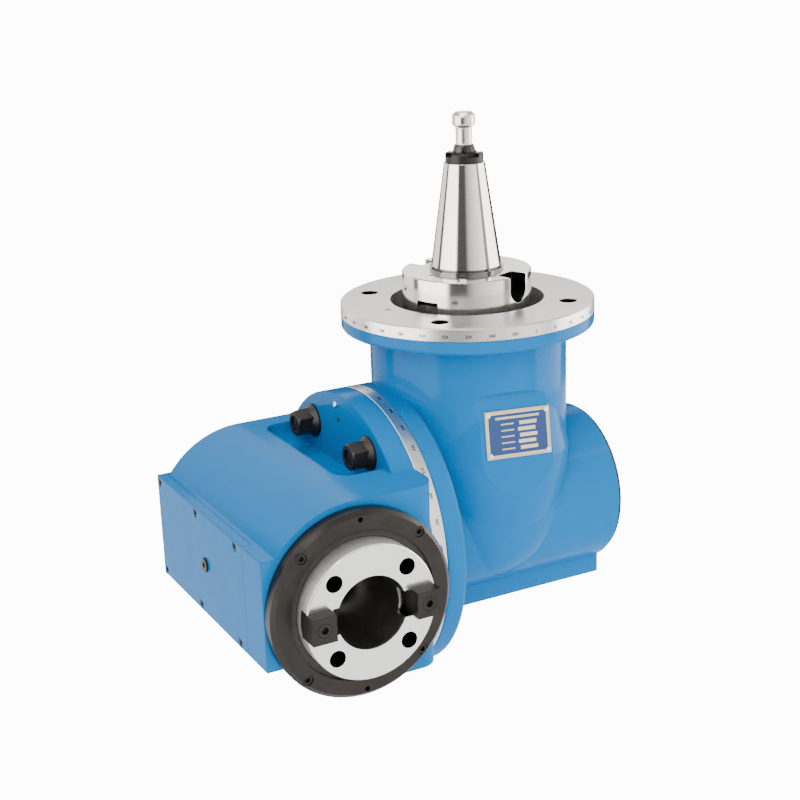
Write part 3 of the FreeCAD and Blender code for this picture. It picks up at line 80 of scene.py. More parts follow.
# Above this height the far half of the wall is evenly bright, for the flat tops
WALL_STEP = 0.2
WALL_TOP = (0.40, 0.395, 0.385)

# Painted shade in a hollow starts this far inside its edge, is this much wider than the hole,
# and has this near black colour
SHADE_INSET = 0.001
SHADE_MARGIN = 0.0004
PAINTED_SHADE_TONE = (0.01, 0.009, 0.008)

# The mounting ring: its foot, and the holes through it
RING_FOOT = -0.0125
RING_HOLE_CIRCLE = 0.1025
RING_HOLE_RAD = 0.00875

# Where the four holes of the ring and of the nose lie on their circles, in degrees
HOLE_TURNS = (45, 135, 225, 315)

# The angle scales: how deep a mark is cut, the plain edge beside the swivel's marks, the gap
# at the mounting ring's foot, how far the numbers stand proud, and how far they lie from the
# mounting ring's foot and from the swivel ring's face
MARK_DEEP = 0.0006
SCALE_EDGE = 0.0012
FOOT_GAP = 0.0004
NUMBER_PROUD = 0.00006
NUMBER_RISE = 0.0046
NUMBER_DEPTH = 0.0056

# The spindle nose: its rim, its mouth, its bolt holes and its keys
NOSE_RAD = 0.064285
NOSE_MOUTH_RAD = 0.034925
NOSE_HOLE_CIRCLE = 0.0508
NOSE_HOLE_RAD = 0.008
KEY_WIDE = 0.0254
KEY_DEEP = 0.012
# How dark the painted shade in the nose's socket is
SOCKET_SHADE = 0.4

# The driving collar, and the inner end and floor of its key slots, which bound the painted shade
# in them
COLLAR_RAD = 0.064285
COLLAR_TOP = 0.0292
COLLAR_SLOT_IN = 0.046
COLLAR_SLOT_FLOOR = 0.0018

# Top of the groove at the foot of the taper and how dark its painted shade is, and top of the
# pull stud's foot flange, which is darkened to near black
SHANK_FOOT_TOP = 0.034
GROOVE_SHADE = 0.8
STUD_FOOT_TOP = 0.152

# The face of the swivel boss that the clamping nuts sit on, and the oil nipple and the near
# black plug on it, which stands in for the shade of a small hole
SWIVEL_BOSS_X = -0.14705
NIPPLE_AT = (0.0064, -0.0888)
PLUG_AT = (0.0023, -0.1032)

# The nameplate: the middle of its back, how it stands, and its size
PLATE_PLACE = Matrix.Translation((-0.0024, -0.0965, -0.1162)) @ Euler(
    (math.radians(90 - 12), 0, math.radians(-4))
).to_matrix().to_4x4() @ Matrix.Rotation(math.radians(-2.5), 4, "Z")
PLATE_WIDE = 0.0702
PLATE_HIGH = 0.0465


class Finishes(bpy.types.PropertyGroup):
    """Colours of the finishes"""

    enamel: FloatVectorProperty(
        name="Enamel", description="Paint on the castings", subtype="COLOR",
        size=3, min=0, max=1, default=(0.0, 0.155, 0.42),
    )
    steel: FloatVectorProperty(
        name="Ground steel", description="Bare ground faces", subtype="COLOR",
        size=3, min=0, max=1, default=(0.80, 0.785, 0.76),
    )
    black: FloatVectorProperty(
        name="Black oxide", description="Blackened rings, keys and nuts", subtype="COLOR",
        size=3, min=0, max=1, default=(0.014, 0.012, 0.0105),
    )
    plate_field: FloatVectorProperty(
        name="Plate field", description="Colour of the nameplate's field", subtype="COLOR",
        size=3, min=0, max=1, default=(0.004, 0.04, 0.17),
    )
    plate_trim: FloatVectorProperty(
        name="Plate trim", description="Bare metal of the nameplate", subtype="COLOR",
        size=3, min=0, max=1, default=(0.63, 0.55, 0.33),
    )
    edge_round: FloatProperty(
        name="Casting edge", description="Softness of the painted edges",
        subtype="DISTANCE", unit="LENGTH", min=0, default=0.0035,
    )
    machined_round: FloatProperty(
        name="Machined edge", description="Softness of the machined edges",
        subtype="DISTANCE", unit="LENGTH", min=0, default=0.0006,
    )


class Marks(bpy.types.PropertyGroup):
    """Sizes of the engraved angle scales"""

    step: FloatProperty(
        name="Step", description="Degrees from one mark to the next", min=1, default=2.0,
    )
    width: FloatProperty(
        name="Width", description="Width of a mark", subtype="DISTANCE", unit="LENGTH",
        min=0, default=0.0003,
    )
    length: FloatProperty(
        name="Length", description="Length of a mark from the ring's edge",
        subtype="DISTANCE", unit="LENGTH", min=0, default=0.0022,
    )
    number_step: IntProperty(
        name="Number step", description="Degrees from one number to the next", min=5, default=10,
    )
    number_size: FloatProperty(
        name="Number size", description="Height of a line of the scale's numbers",
        subtype="DISTANCE", unit="LENGTH", min=0, default=0.0042,
    )


class Studio(bpy.types.PropertyGroup):
    """Camera, floor and light"""

    azimuth: FloatProperty(
        name="Azimuth", description="Turn of the view about the shank, in degrees",
        default=-27.70,
    )
    elevation: FloatProperty(
        name="Elevation", description="Height of the view, in degrees", default=17.50,
    )
    roll: FloatProperty(name="Roll", description="Roll of the camera, in degrees", default=-1.92)
    distance: FloatProperty(
        name="Distance", description="From the camera to the origin along the view",
        subtype="DISTANCE", unit="LENGTH", default=1.537,
    )
    focal: FloatProperty(
        name="Focal length", description="In pixels of an 800 pixel frame", default=1535.0,
    )
    origin_right: FloatProperty(
        name="Origin across", description="Pixels of the origin right of the frame's middle",
        default=66.9,
    )
    origin_up: FloatProperty(
        name="Origin above", description="Pixels of the origin above the frame's middle",
        default=103.6,
    )
    wall_distance: FloatProperty(
        name="Wall distance", description="From the shank to the banded studio wall",
        subtype="DISTANCE", unit="LENGTH", min=0.5, default=0.95,
    )
    wall_height: FloatProperty(
        name="Wall height", description="Height of the banded studio wall",
        subtype="DISTANCE", unit="LENGTH", min=0.1, default=0.95,
    )
    wall_glow: FloatProperty(
        name="Wall glow", description="Strength of the wall's bright bands", min=0, default=6.0,
    )
    floor_glow: FloatProperty(
        name="Floor glow", description="Strength of the floor's own light in the view", min=0,
        default=12.0,
    )
    bounce_glow: FloatProperty(
        name="Bounce glow", description="Strength of the light that the object gets from below",
        min=0, default=0.55,
    )
    floor: FloatVectorProperty(
        name="Floor", description="Colour of the floor", subtype="COLOR",
        size=3, min=0, max=1, default=(0.93, 0.93, 0.93),
    )


class Value:
    """A shader socket that can be used in sums."""

    def __init__(self, shader, socket):
        self.shader = shader
        self.socket = socket

    def _math(self, operation, *operands):
        return self.shader.node("ShaderNodeMath", {"operation": operation},
                                {i: operand for i, operand in enumerate(operands)})

    def __add__(self, other):
        return self._math("ADD", self, other)

    def __radd__(self, other):
        return self._math("ADD", other, self)

    def __sub__(self, other):
        return self._math("SUBTRACT", self, other)

    def __rsub__(self, other):
        return self._math("SUBTRACT", other, self)

    def __mul__(self, other):
        return self._math("MULTIPLY", self, other)

    def __truediv__(self, other):
        return self._math("DIVIDE", self, other)

    def __lt__(self, other):
        return self._math("LESS_THAN", self, other)

    def __gt__(self, other):
        return self._math("GREATER_THAN", self, other)

    def __abs__(self):
        return self._math("ABSOLUTE", self)

    def fraction(self):
        return self._math("FRACT", self)

    def root(self):
        return self._math("SQRT", self)

    def angle_to(self, other):
        """Angle of the point (other, self), in degrees."""
        return self._math("DEGREES", self._math("ARCTAN2", self, other))


class Shader:
    """A material made of nodes."""

    def __init__(self, name):
        self.material = bpy.data.materials.new(name)
        self.material.use_nodes = True
        self.tree = self.material.node_tree
        self.tree.nodes.clear()

    def node(self, kind, settings=None, inputs=None, output=0):
        """Add a node, its settings first, and give back one of its outputs."""
        node = self.tree.nodes.new(kind)
        for name, value in (settings or {}).items():
            if name == "stops":
                self._set_stops(node, value)
            else:
                setattr(node, name, value)
        for name, value in (inputs or {}).items():
            if isinstance(value, Value):
                self.tree.links.new(value.socket, node.inputs[name])
            else:
                node.inputs[name].default_value = value
        return Value(self, node.outputs[output])

    def _set_stops(self, node, stops):
        elements = node.color_ramp.elements
        while len(elements) < len(stops):
            elements.new(0.5)
        for element, (position, colour) in zip(elements, stops):
            element.position = position
            element.color = (*colour, 1)

    def point(self, centre=(0, 0, 0)):
        """The three coordinates of the surface, from a centre."""
        place = self.node("ShaderNodeTexCoord", output="Object")
        moved = self.node("ShaderNodeVectorMath", {"operation": "SUBTRACT"},
                          {0: place, 1: centre})
        parts = self.tree.nodes.new("ShaderNodeSeparateXYZ")
        self.tree.links.new(moved.socket, parts.inputs[0])
        return [Value(self, socket) for socket in parts.outputs]

    def near_any(self, x, y, spots, rad):
        """One inside a radius of any of the spots, else nought."""
        inside = None
        for spot in spots:
            across, up = x - spot[0], y - spot[1]
            near = (across * across + up * up) < rad * rad
            inside = near if inside is None else inside + near
        return inside

    def vector(self, x, y, z):
        return self.node("ShaderNodeCombineXYZ", inputs={0: x, 1: y, 2: z})

    def noise(self, scale, detail=3.0, roughness=0.5, vector=None):
        """Noise from 0 to 1, on the object's own coordinates unless told otherwise."""
        if vector is None:
            vector = self.node("ShaderNodeTexCoord", output="Object")
        return self.node("ShaderNodeTexNoise", inputs={
            "Vector": vector, "Scale": scale, "Detail": detail, "Roughness": roughness,
        })

    def mix(self, share, first, second):
        """Blend of two colours."""
        inputs = {0: share}
        for index, colour in ((6, first), (7, second)):
            inputs[index] = colour if isinstance(colour, Value) else (*colour, 1)
        return self.node("ShaderNodeMix", {"data_type": "RGBA"}, inputs, output=2)

    def soft_edges(self, radius):
        return self.node("ShaderNodeBevel", {"samples": 4}, {"Radius": radius})

    def bump(self, height, strength, distance, normal=None):
        inputs = {"Height": height, "Strength": strength, "Distance": distance}
        if normal is not None:
            inputs["Normal"] = normal
        return self.node("ShaderNodeBump", inputs=inputs)

    def finish(self, **sockets):
        """The closing surface shader, its sockets named with underscores."""
        inputs = {name.replace("_", " "): value for name, value in sockets.items()}
        for name, value in inputs.items():
            if isinstance(value, tuple) and len(value) == 3:
                inputs[name] = (*value, 1)
        surface = self.node("ShaderNodeBsdfPrincipled", inputs=inputs)
        output = self.tree.nodes.new("ShaderNodeOutputMaterial")
        self.tree.links.new(surface.socket, output.inputs["Surface"])
        return self.material


def shade(colour, factor):
    """A colour made lighter or darker."""
    return tuple(min(1.0, part * factor) for part in colour)


def enamel(name, finishes, shade_above=None):
    """Glossy paint on a casting: slow drift of tone, orange peel and soft edges; above a given
    height it is near black metal, painted as shade.
    """
    shader = Shader(name)
    base = tuple(finishes.enamel)
    drift = shader.noise(9.0, 2.0)
    specks = shader.noise(160.0, 4.0, 0.65)
    tone = shader.mix(drift, shade(base, 0.94), shade(base, 1.06))
    tone = shader.mix(specks * 0.05, tone, shade(base, 1.3))
    metal = 0.0
    if shade_above is not None:
        z = shader.point()[2]
        metal = z > shade_above
        tone = shader.mix(metal, tone, (0.012, 0.012, 0.013))
    peel = shader.noise(420.0, 2.0)
    waves = shader.noise(16.0, 3.0, 0.6)
    edges = shader.soft_edges(finishes.edge_round)
    normal = shader.bump(peel * 0.03 + waves, 0.5, 0.003, edges)
    return shader.finish(
        Base_Color=tone, Roughness=0.2 + drift * 0.08, Normal=normal, Metallic=metal,
        Specular_IOR_Level=0.02, Coat_Weight=0.12, Coat_Roughness=0.06,
    )


def turning_lines(shader, centre, axis):
    """Fine rings that a lathe or grinder leaves, the distance from the axis and along it."""
    x, y, z = shader.point(centre)
    across, along = {"X": ((y, z), x), "Y": ((x, z), y), "Z": ((x, y), z)}[axis]
    radius = (across[0] * across[0] + across[1] * across[1]).root()
    rings = shader.noise(1.0, 3.0, 0.6, shader.vector(radius * 900.0, along * 900.0, 0.0))
    return rings, radius, along, across


def ground_steel(name, finishes, centre, axis, rough=0.24, tint=1.0, shadow=None, soft=1.0,
                 matt_from=1.0):
    """Ground or turned steel with rings about its own axis, with painted shade, near black, in
    its hollows.

    Beyond the radius matt_from it is fine turned and not ground.
    """
    shader = Shader(name)
    base = shade(tuple(finishes.steel), tint)
    rings, radius, along, across = turning_lines(shader, centre, axis)
    stains = shader.noise(22.0, 4.0, 0.6)
    tone = shader.mix(rings * 0.12 + stains * 0.2, base, shade(base, 0.72))
    if shadow is not None:
        # Painted shade: the hollows that shadow gives are mixed toward near black
        painted_shade = shadow(shader, radius, along, across)
        tone = shader.mix(painted_shade * 0.94, tone, PAINTED_SHADE_TONE)
    edges = shader.soft_edges(finishes.machined_round * soft)
    normal = shader.bump(rings, 0.05, 0.0004, edges)
    return shader.finish(
        Base_Color=tone, Metallic=1.0, Normal=normal,
        Roughness=rough + (rings * 0.4 + stains * 0.25) * rough + (radius > matt_from) * 0.24,
    )


def hole_spots(circle):
    """The middles of four holes on a circle."""
    return [
        (circle * math.cos(turn), circle * math.sin(turn))
        for turn in map(math.radians, HOLE_TURNS)
    ]


def nose_hollows(shader, radius, along, across):
    """Painted shade in the bolt holes and key slots of the spindle nose, and partly in its
    socket.
    """
    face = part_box("spindle")[0].y
    bores = shader.near_any(*across, hole_spots(NOSE_HOLE_CIRCLE), NOSE_HOLE_RAD + SHADE_MARGIN)
    slots = (abs(across[1]) < KEY_WIDE / 2 + 2 * SHADE_MARGIN)
    slots = slots * (radius > NOSE_MOUTH_RAD + SHADE_MARGIN)
    slots = slots * (along < face + KEY_DEEP + SHADE_MARGIN)
    socket = (radius < NOSE_MOUTH_RAD - SHADE_MARGIN) * SOCKET_SHADE
    return (bores + slots + socket) * (along > face + SHADE_INSET)


def shank_foot(shader, radius, along, across):
    """Painted shade in the groove where the taper meets the collar."""
    return (along < SHANK_FOOT_TOP) * GROOVE_SHADE


def stud_foot(shader, radius, along, across):
    """The foot flange of the pull stud, darkened to near black."""
    return along < STUD_FOOT_TOP


def collar_hollows(shader, radius, along, across):
    """Painted shade in the key slots of the driving collar."""
    ring = (radius < COLLAR_RAD - SHADE_INSET) * (radius > COLLAR_SLOT_IN - SHADE_INSET)
    return ring * (along > COLLAR_SLOT_FLOOR) * (along < COLLAR_TOP - SHADE_INSET)


def scale_steel(name, finishes, marks, centre, axis, rim, mark_from, mark_to, holes=()):
    """Ground steel with angle marks cut into its rim, and painted shade in the holes through it.
    """
    shader = Shader(name)
    base = tuple(finishes.steel)
    rings, radius, along, across = turning_lines(shader, centre, axis)
    stains = shader.noise(30.0, 3.0)
    degrees = across[1].angle_to(across[0])
    turn = (degrees / marks.step + 0.5).fraction() - 0.5
    half = math.degrees(marks.width / 2 / rim) / marks.step
    on_line = abs(turn) < half
    in_band = (along > mark_from) * (along < mark_to)
    mark = on_line * in_band * (radius > rim - MARK_DEEP)
    tone = shader.mix(rings * 0.3 + stains * 0.25, base, shade(base, 0.75))
    tone = shader.mix(mark * 0.85, tone, (0.03, 0.03, 0.035))
    if holes:
        # Painted shade, near black, inside the holes through the ring
        hole_shade = shader.near_any(*across, holes, RING_HOLE_RAD + SHADE_MARGIN)
        tone = shader.mix(hole_shade * (along < -SHADE_INSET), tone, PAINTED_SHADE_TONE)
    edges = shader.soft_edges(finishes.machined_round)
    normal = shader.bump(rings * 0.3 - mark, 0.25, 0.0006, edges)
    return shader.finish(
        Base_Color=tone, Metallic=1.0 - mark * 0.6, Normal=normal,
        Roughness=0.26 + rings * 0.08 + mark * 0.3,
    )


def black_oxide(name, finishes, centre, axis, rough=0.34):
    """Blackened steel, with faint turning rings and a brownish bloom."""
    shader = Shader(name)
    base = tuple(finishes.black)
    rings, _, _, _ = turning_lines(shader, centre, axis)
    bloom = shader.noise(45.0, 4.0, 0.6)
    tone = shader.mix(bloom, base, shade(base, 2.6))
    edges = shader.soft_edges(finishes.machined_round)
    normal = shader.bump(rings * 0.6 + bloom * 0.4, 0.14, 0.0005, edges)
    return shader.finish(
        Base_Color=tone, Metallic=0.75, Normal=normal,
        Roughness=rough + bloom * 0.12,
    )


def rubber(name):
    shader = Shader(name)
    grain = shader.noise(300.0, 3.0)
    tone = shader.mix(grain, (0.012, 0.012, 0.012), (0.03, 0.029, 0.028))
    normal = shader.bump(grain, 0.2, 0.0003)
    return shader.finish(Base_Color=tone, Roughness=0.6 + grain * 0.15, Normal=normal)


def plate_metal(name, finishes):
    """Printed plate: a trim border, a dark field, blank value boxes and plain bars.

    Its proportions are shares of the plate's half width and half height.
    """
    shader = Shader(name)
    x, y, z = shader.point(tuple(PLATE_PLACE.translation))
    right, upward = (PLATE_PLACE.col[i].to_3d() for i in (0, 1))
    across = (x * right.x + y * right.y + z * right.z) / (PLATE_WIDE / 2)
    up = (x * upward.x + y * upward.y + z * upward.z) / (PLATE_HIGH / 2)
    field = (abs(across) < 0.93) * (abs(up) < 0.89)
    line = field * (1.0 - (abs(across) < 0.90) * (abs(up) < 0.845))
    boxes = None
    for row in range(5):
        level = 0.42 - row * 0.26
        left = 0.02 - 0.05 * (row % 2)
        box = (abs(up - level) < 0.075) * (abs(across - (left + 0.30)) < 0.27)
        bar = (abs(up - level) < 0.03) * (abs(across + 0.32) < 0.2)
        pair = box + bar * 0.75
        boxes = pair if boxes is None else boxes + pair
    heading = (abs(up - 0.68) < 0.05) * (abs(across) < 0.68)
    printed = (boxes + heading * 0.8 + line) * field
    brush = shader.noise(1.0, 3.0, 0.6, shader.vector(across * 2.0, up * 40.0, 0.0))
    trim = tuple(finishes.plate_trim)
    metal = shader.mix(brush * 0.4, trim, shade(trim, 0.7))
    tone = shader.mix(field, metal, tuple(finishes.plate_field))
    tone = shader.mix(printed, tone, shade(trim, 1.15))
    normal = shader.bump(printed + (1.0 - field), 0.2, 0.0003)
    return shader.finish(
        Base_Color=tone, Metallic=0.7 - field * 0.7, Normal=normal,
        Roughness=0.34 + brush * 0.12,
    )


def floor_finish(name, studio, glow):
    """Pale floor that is lit from below, as a light table is."""
    shader = Shader(name)
    grain = shader.noise(6.0, 2.0)
    base = tuple(studio.floor)
    tone = shader.mix(grain, shade(base, 0.995), base)
    return shader.finish(
        Base_Color=tone, Roughness=0.75 + grain * 0.05, Emission_Color=(1.0, 1.0, 1.0),
        Emission_Strength=glow,
    )


def wall_finish(name, studio):
    """Bright and dark upright bands, which the steel and the paint mirror."""
    shader = Shader(name)
    right, _, back = camera_axes(studio, 0.0)
    x, y, z = shader.point()
    side = x * right.x + y * right.y
    ahead = x * back.x + y * back.y
    turn = side.angle_to(ahead) / 360.0 + 0.5
    bands = shader.node("ShaderNodeValToRGB", {"stops": WALL_BANDS}, {"Fac": turn})
    top_behind = (z > WALL_STEP) * (ahead < 0.0)
    glow = shader.mix(top_behind, bands, WALL_TOP)
    return shader.finish(
        Base_Color=(0.0, 0.0, 0.0), Roughness=1.0, Emission_Color=glow,
        Emission_Strength=studio.wall_glow,
    )


def coat(material, *nodes):
    """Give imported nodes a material."""
    for name in nodes:
        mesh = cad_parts[name].data
        mesh.materials.clear()
        mesh.materials.append(material)


def deselect():
    """Leave edit mode and select nothing."""
    if bpy.context.object and bpy.context.object.mode != "OBJECT":
        bpy.ops.object.mode_set(mode="OBJECT")
    bpy.ops.object.select_all(action="DESELECT")


class ANGLEHEAD_OT_castings(bpy.types.Operator):
    """Paint the two housings and the side cover"""

    bl_idname = "anglehead.castings"
    bl_label = "Painted castings"

    def execute(self, context):
        finishes = context.scene.head_finishes
        # Above the mounting ring's foot the gear housing is painted near black, as the shade
        # seen through the ring's holes
        coat(enamel("gear_housing_enamel", finishes, RING_FOOT - 0.0003), "gear_housing")
        coat(enamel("spindle_housing_enamel", finishes), "spindle_housing")
        coat(enamel("side_cover_enamel", finishes), "side_cover")
        return {"FINISHED"}


class ANGLEHEAD_OT_rings(bpy.types.Operator):
    """Finish the mounting ring and the rings of the swivel"""

    bl_idname = "anglehead.rings"
    bl_label = "Graduated rings"

    def execute(self, context):
        finishes = context.scene.head_finishes
        marks = context.scene.head_marks
        low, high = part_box("mounting_ring")
        rim = (high.x - low.x) / 2
        foot = RING_FOOT + FOOT_GAP
        holes = hole_spots(RING_HOLE_CIRCLE)
        coat(scale_steel("mounting_ring_steel", finishes, marks, SHANK_CENTRE, "Z", rim,
                         foot, foot + marks.length, holes),
             "mounting_ring")
        low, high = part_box("graduated_ring")
        rim = (high.y - low.y) / 2
        coat(scale_steel("graduated_ring_steel", finishes, marks, SWIVEL_CENTRE, "X", rim,
                         high.x - SCALE_EDGE - marks.length, high.x - SCALE_EDGE),
             "graduated_ring")
        coat(ground_steel("slot_ring_steel", finishes, SWIVEL_CENTRE, "X"), "slot_ring")
        coat(ground_steel("retaining_nut_steel", finishes, SHANK_CENTRE, "Z", 0.32),
             "retaining_nut")
        return {"FINISHED"}


class ANGLEHEAD_OT_input(bpy.types.Operator):
    """Finish the shank, the driving collar and what turns in the neck"""

    bl_idname = "anglehead.input"
    bl_label = "Shank and collar"

    def execute(self, context):
        finishes = context.scene.head_finishes
        coat(ground_steel("shank_steel", finishes, SHANK_CENTRE, "Z", 0.07,
                          shadow=shank_foot), "taper_shank")
        coat(ground_steel("stud_steel", finishes, SHANK_CENTRE, "Z", 0.1, shadow=stud_foot,
                          soft=5.0), "pull_stud")
        coat(ground_steel("collar_steel", finishes, SHANK_CENTRE, "Z", 0.1,
                          shadow=collar_hollows), "drive_collar")
        coat(black_oxide("end_ring_black", finishes, SHANK_CENTRE, "Z"), "shank_end_ring")
        inner = ground_steel("input_parts_steel", finishes, SHANK_CENTRE, "Z", 0.3, 0.8)
        coat(inner, "input_shaft", "input_cartridge", "input_cover")
        coat(black_oxide("input_small_black", finishes, SHANK_CENTRE, "Z"), "collar_screws",
             "cartridge_screws", "input_locknut", "input_gear_key")
        return {"FINISHED"}


class ANGLEHEAD_OT_drive(bpy.types.Operator):
    """Finish the cross shaft, the gears and the bearings"""

    bl_idname = "anglehead.drive"
    bl_label = "Gears and bearings"

    def execute(self, context):
        finishes = context.scene.head_finishes
        coat(ground_steel("cross_parts_steel", finishes, SWIVEL_CENTRE, "X", 0.3, 0.85),
             "cross_shaft", "cross_spacer", "cross_carrier")
        coat(black_oxide("cross_small_black", finishes, SWIVEL_CENTRE, "X"), "cross_locknuts",
             "cross_gear_keys", "scale_screws")
        coat(ground_steel("input_gear_steel", finishes, SHANK_CENTRE, "Z", 0.28, 0.75),
             "input_gear")
        coat(ground_steel("cross_gear_steel", finishes, SWIVEL_CENTRE, "X", 0.28, 0.75),
             "cross_gear_left", "cross_gear_right")
        coat(ground_steel("spindle_gear_steel", finishes, SPINDLE_CENTRE, "Y", 0.28, 0.75),
             "spindle_gear")
        for name, centre, axis in (
            ("input_bearing", SHANK_CENTRE, "Z"),
            ("cross_bearing", SWIVEL_CENTRE, "X"),
            ("front_bearing", SPINDLE_CENTRE, "Y"),
            ("rear_bearing", SPINDLE_CENTRE, "Y"),
        ):
            polished = ground_steel(name + "_steel", finishes, centre, axis, 0.12, 1.05)
            coat(polished, name + "_outer_rings", name + "_inner_rings", name + "_rollers")
        return {"FINISHED"}


class ANGLEHEAD_OT_spindle(bpy.types.Operator):
    """Finish the spindle, its keys and the covers round it"""

    bl_idname = "anglehead.spindle"
    bl_label = "Spindle nose"

    def execute(self, context):
        finishes = context.scene.head_finishes
        coat(ground_steel("spindle_steel", finishes, SPINDLE_CENTRE, "Y", 0.17,
                          shadow=nose_hollows, matt_from=NOSE_RAD - 0.0005), "spindle")
        coat(black_oxide("front_cover_black", finishes, SPINDLE_CENTRE, "Y", 0.3),
             "front_cover")
        coat(black_oxide("drive_key_black", finishes, SPINDLE_CENTRE, "Y", 0.4), "drive_keys")
        coat(black_oxide("nose_screw_black", finishes, SPINDLE_CENTRE, "Y"),
             "drive_key_screws", "front_cover_screws", "rear_cover_screws",
             "spindle_front_nut", "spindle_rear_nut", "spindle_gear_key")
        coat(rubber("nose_seal_rubber"), "nose_seal")
        coat(ground_steel("rear_cover_steel", finishes, SPINDLE_CENTRE, "Y", 0.35, 0.8),
             "rear_cover")
        return {"FINISHED"}


class ANGLEHEAD_OT_small(bpy.types.Operator):
    """Finish the clamping nuts, the end cover, the plugs and the nameplate"""

    bl_idname = "anglehead.small"
    bl_label = "Nuts, covers and plate"

    def execute(self, context):
        finishes = context.scene.head_finishes
        coat(black_oxide("clamp_black", finishes, SWIVEL_CENTRE, "X"), "flange_nuts",
             "tee_bolts", "end_cover_screws", "side_cover_screws", "oil_plug")
        coat(black_oxide("end_cover_black", finishes, SWIVEL_CENTRE, "X", 0.42),
             "drum_end_cover")
        coat(plate_metal("nameplate_print", finishes), "nameplate")
        coat(ground_steel("rivet_steel", finishes, SHANK_CENTRE, "Z", 0.3), "nameplate_rivets")
        return {"FINISHED"}


def add_number(text, size, place, ink):
    """A plain number, flat on the place's own X and Y."""
    bpy.ops.object.text_add(location=place.translation, rotation=place.to_euler())
    number = bpy.context.object
    number.data.body = text
    number.data.size = size
    number.data.align_x = "CENTER"
    number.data.align_y = "CENTER"
    number.data.resolution_u = 2
    number.data.offset = size * 0.035
    bpy.ops.object.convert(target="MESH")
    bpy.ops.object.transform_apply(location=True, rotation=True, scale=True)
    bpy.context.object.data.materials.append(ink)
    return bpy.context.object


def add_numbers(name, body, marks, places, ink):
    """The numbers of one scale as one piece that rides on a body."""
    numbers = []
    for degrees, place in places:
        deselect()
        numbers.append(add_number(str(degrees), marks.number_size, place, ink))
    deselect()
    for number in numbers:
        number.select_set(True)
    bpy.context.view_layer.objects.active = numbers[0]
    bpy.ops.object.join()
    numbers[0].name = name
    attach(numbers[0], body)


def ink_finish(name):
    """Black filling of engraved figures."""
    shader = Shader(name)
    wear = shader.noise(900.0, 3.0)
    tone = shader.mix(wear * 0.5, (0.004, 0.004, 0.004), (0.03, 0.028, 0.026))
    return shader.finish(Base_Color=tone, Roughness=0.5 + wear * 0.2)


class ANGLEHEAD_OT_numbers(bpy.types.Operator):
    """Add the plain numbers of the two angle scales"""

    bl_idname = "anglehead.numbers"
    bl_label = "Scale numbers"

    def execute(self, context):
        marks = context.scene.head_marks
        ink = ink_finish("scale_number_ink")
        steps = range(0, 360, marks.number_step)
        low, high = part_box("mounting_ring")
        rim = (high.x - low.x) / 2 + NUMBER_PROUD
        height = RING_FOOT + NUMBER_RISE
        places = [
            (degrees, self.upright_place(degrees - 90, rim, height)) for degrees in steps
        ]
        add_numbers("mounting_ring_numbers", "mounting_ring", marks, places, ink)
        low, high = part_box("graduated_ring")
        rim = (high.y - low.y) / 2 + NUMBER_PROUD
        depth = high.x - NUMBER_DEPTH
        places = [(degrees, self.swivel_place(degrees, rim, depth)) for degrees in steps]
        add_numbers("graduated_ring_numbers", "gear_housing", marks, places, ink)
        return {"FINISHED"}

    def upright_place(self, degrees, rim, height):
        """On the mounting ring's rim, its Z outwards and its Y up."""
        turn = math.radians(degrees)
        out = Vector((math.cos(turn), math.sin(turn), 0))
        along = Vector((-math.sin(turn), math.cos(turn), 0))
        return self.frame_at(along, Vector((0, 0, 1)), out, out * rim + Vector((0, 0, height)))

    def swivel_place(self, degrees, rim, depth):
        """On the graduated ring's rim, its Z outwards and its Y towards the spindle."""
        turn = math.radians(degrees)
        out = Vector((0, math.sin(turn), math.cos(turn)))
        up = Vector((-1, 0, 0))
        centre = Vector((depth, 0, SWIVEL_Z))
        return self.frame_at(up.cross(out), up, out, centre + out * rim)

    def frame_at(self, along, up, out, place):
        turned = Matrix((along, up, out)).transposed().to_4x4()
        return Matrix.Translation(place) @ turned


class ANGLEHEAD_OT_nipple(bpy.types.Operator):
    """Add the oil nipple, and a small near black plug on the swivel boss that stands in for the
    shade of a small hole
    """

    bl_idname = "anglehead.nipple"
    bl_label = "Oil nipple"

    def execute(self, context):
        finishes = context.scene.head_finishes
        nipple, plug = ((SWIVEL_BOSS_X, *place) for place in (NIPPLE_AT, PLUG_AT))
        steel = ground_steel("nipple_steel", finishes, nipple, "X", 0.2)
        self.turned_button("oil_nipple", nipple, 0.0031, 0.0016, steel)
        # Near black plug, standing in for the shade of a small hole
        dark = black_oxide("boss_plug_painted_shade", finishes, plug, "X")
        self.turned_button("boss_plug", plug, 0.0021, 0.0007, dark)
        return {"FINISHED"}

    def turned_button(self, name, place, rad, proud, material):
        """A round button with a ring groove and a dimple, proud of a face that looks to -X."""
        deselect()
        bpy.ops.mesh.primitive_cylinder_add(
            vertices=32, radius=rad, depth=proud * 2, end_fill_type="NGON",
            location=place, rotation=(0, math.radians(-90), 0),
        )
        button = bpy.context.object
        button.name = name
        bpy.ops.object.transform_apply(location=True, rotation=True, scale=True)
        bpy.ops.object.mode_set(mode="EDIT")
        mesh = bmesh.from_edit_mesh(button.data)
        front = min(mesh.faces, key=lambda face: face.calc_center_median().x)
        for face in mesh.faces:
            face.select = face is front
        bmesh.update_edit_mesh(button.data)
        bpy.ops.mesh.inset(thickness=rad * 0.22)
        bpy.ops.transform.translate(value=(-proud * 0.5, 0, 0))
        bpy.ops.mesh.inset(thickness=rad * 0.3)
        bpy.ops.mesh.inset(thickness=rad * 0.12)
        bpy.ops.transform.translate(value=(proud * 0.9, 0, 0))
        bpy.ops.object.mode_set(mode="OBJECT")
        bpy.ops.object.shade_smooth()
        bevel = button.modifiers.new("Soft edge", "BEVEL")
        bevel.width = rad * 0.08
        bevel.segments = 2
        bpy.ops.object.modifier_apply(modifier=bevel.name)
        button.data.materials.append(material)
        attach(button, "spindle_housing")


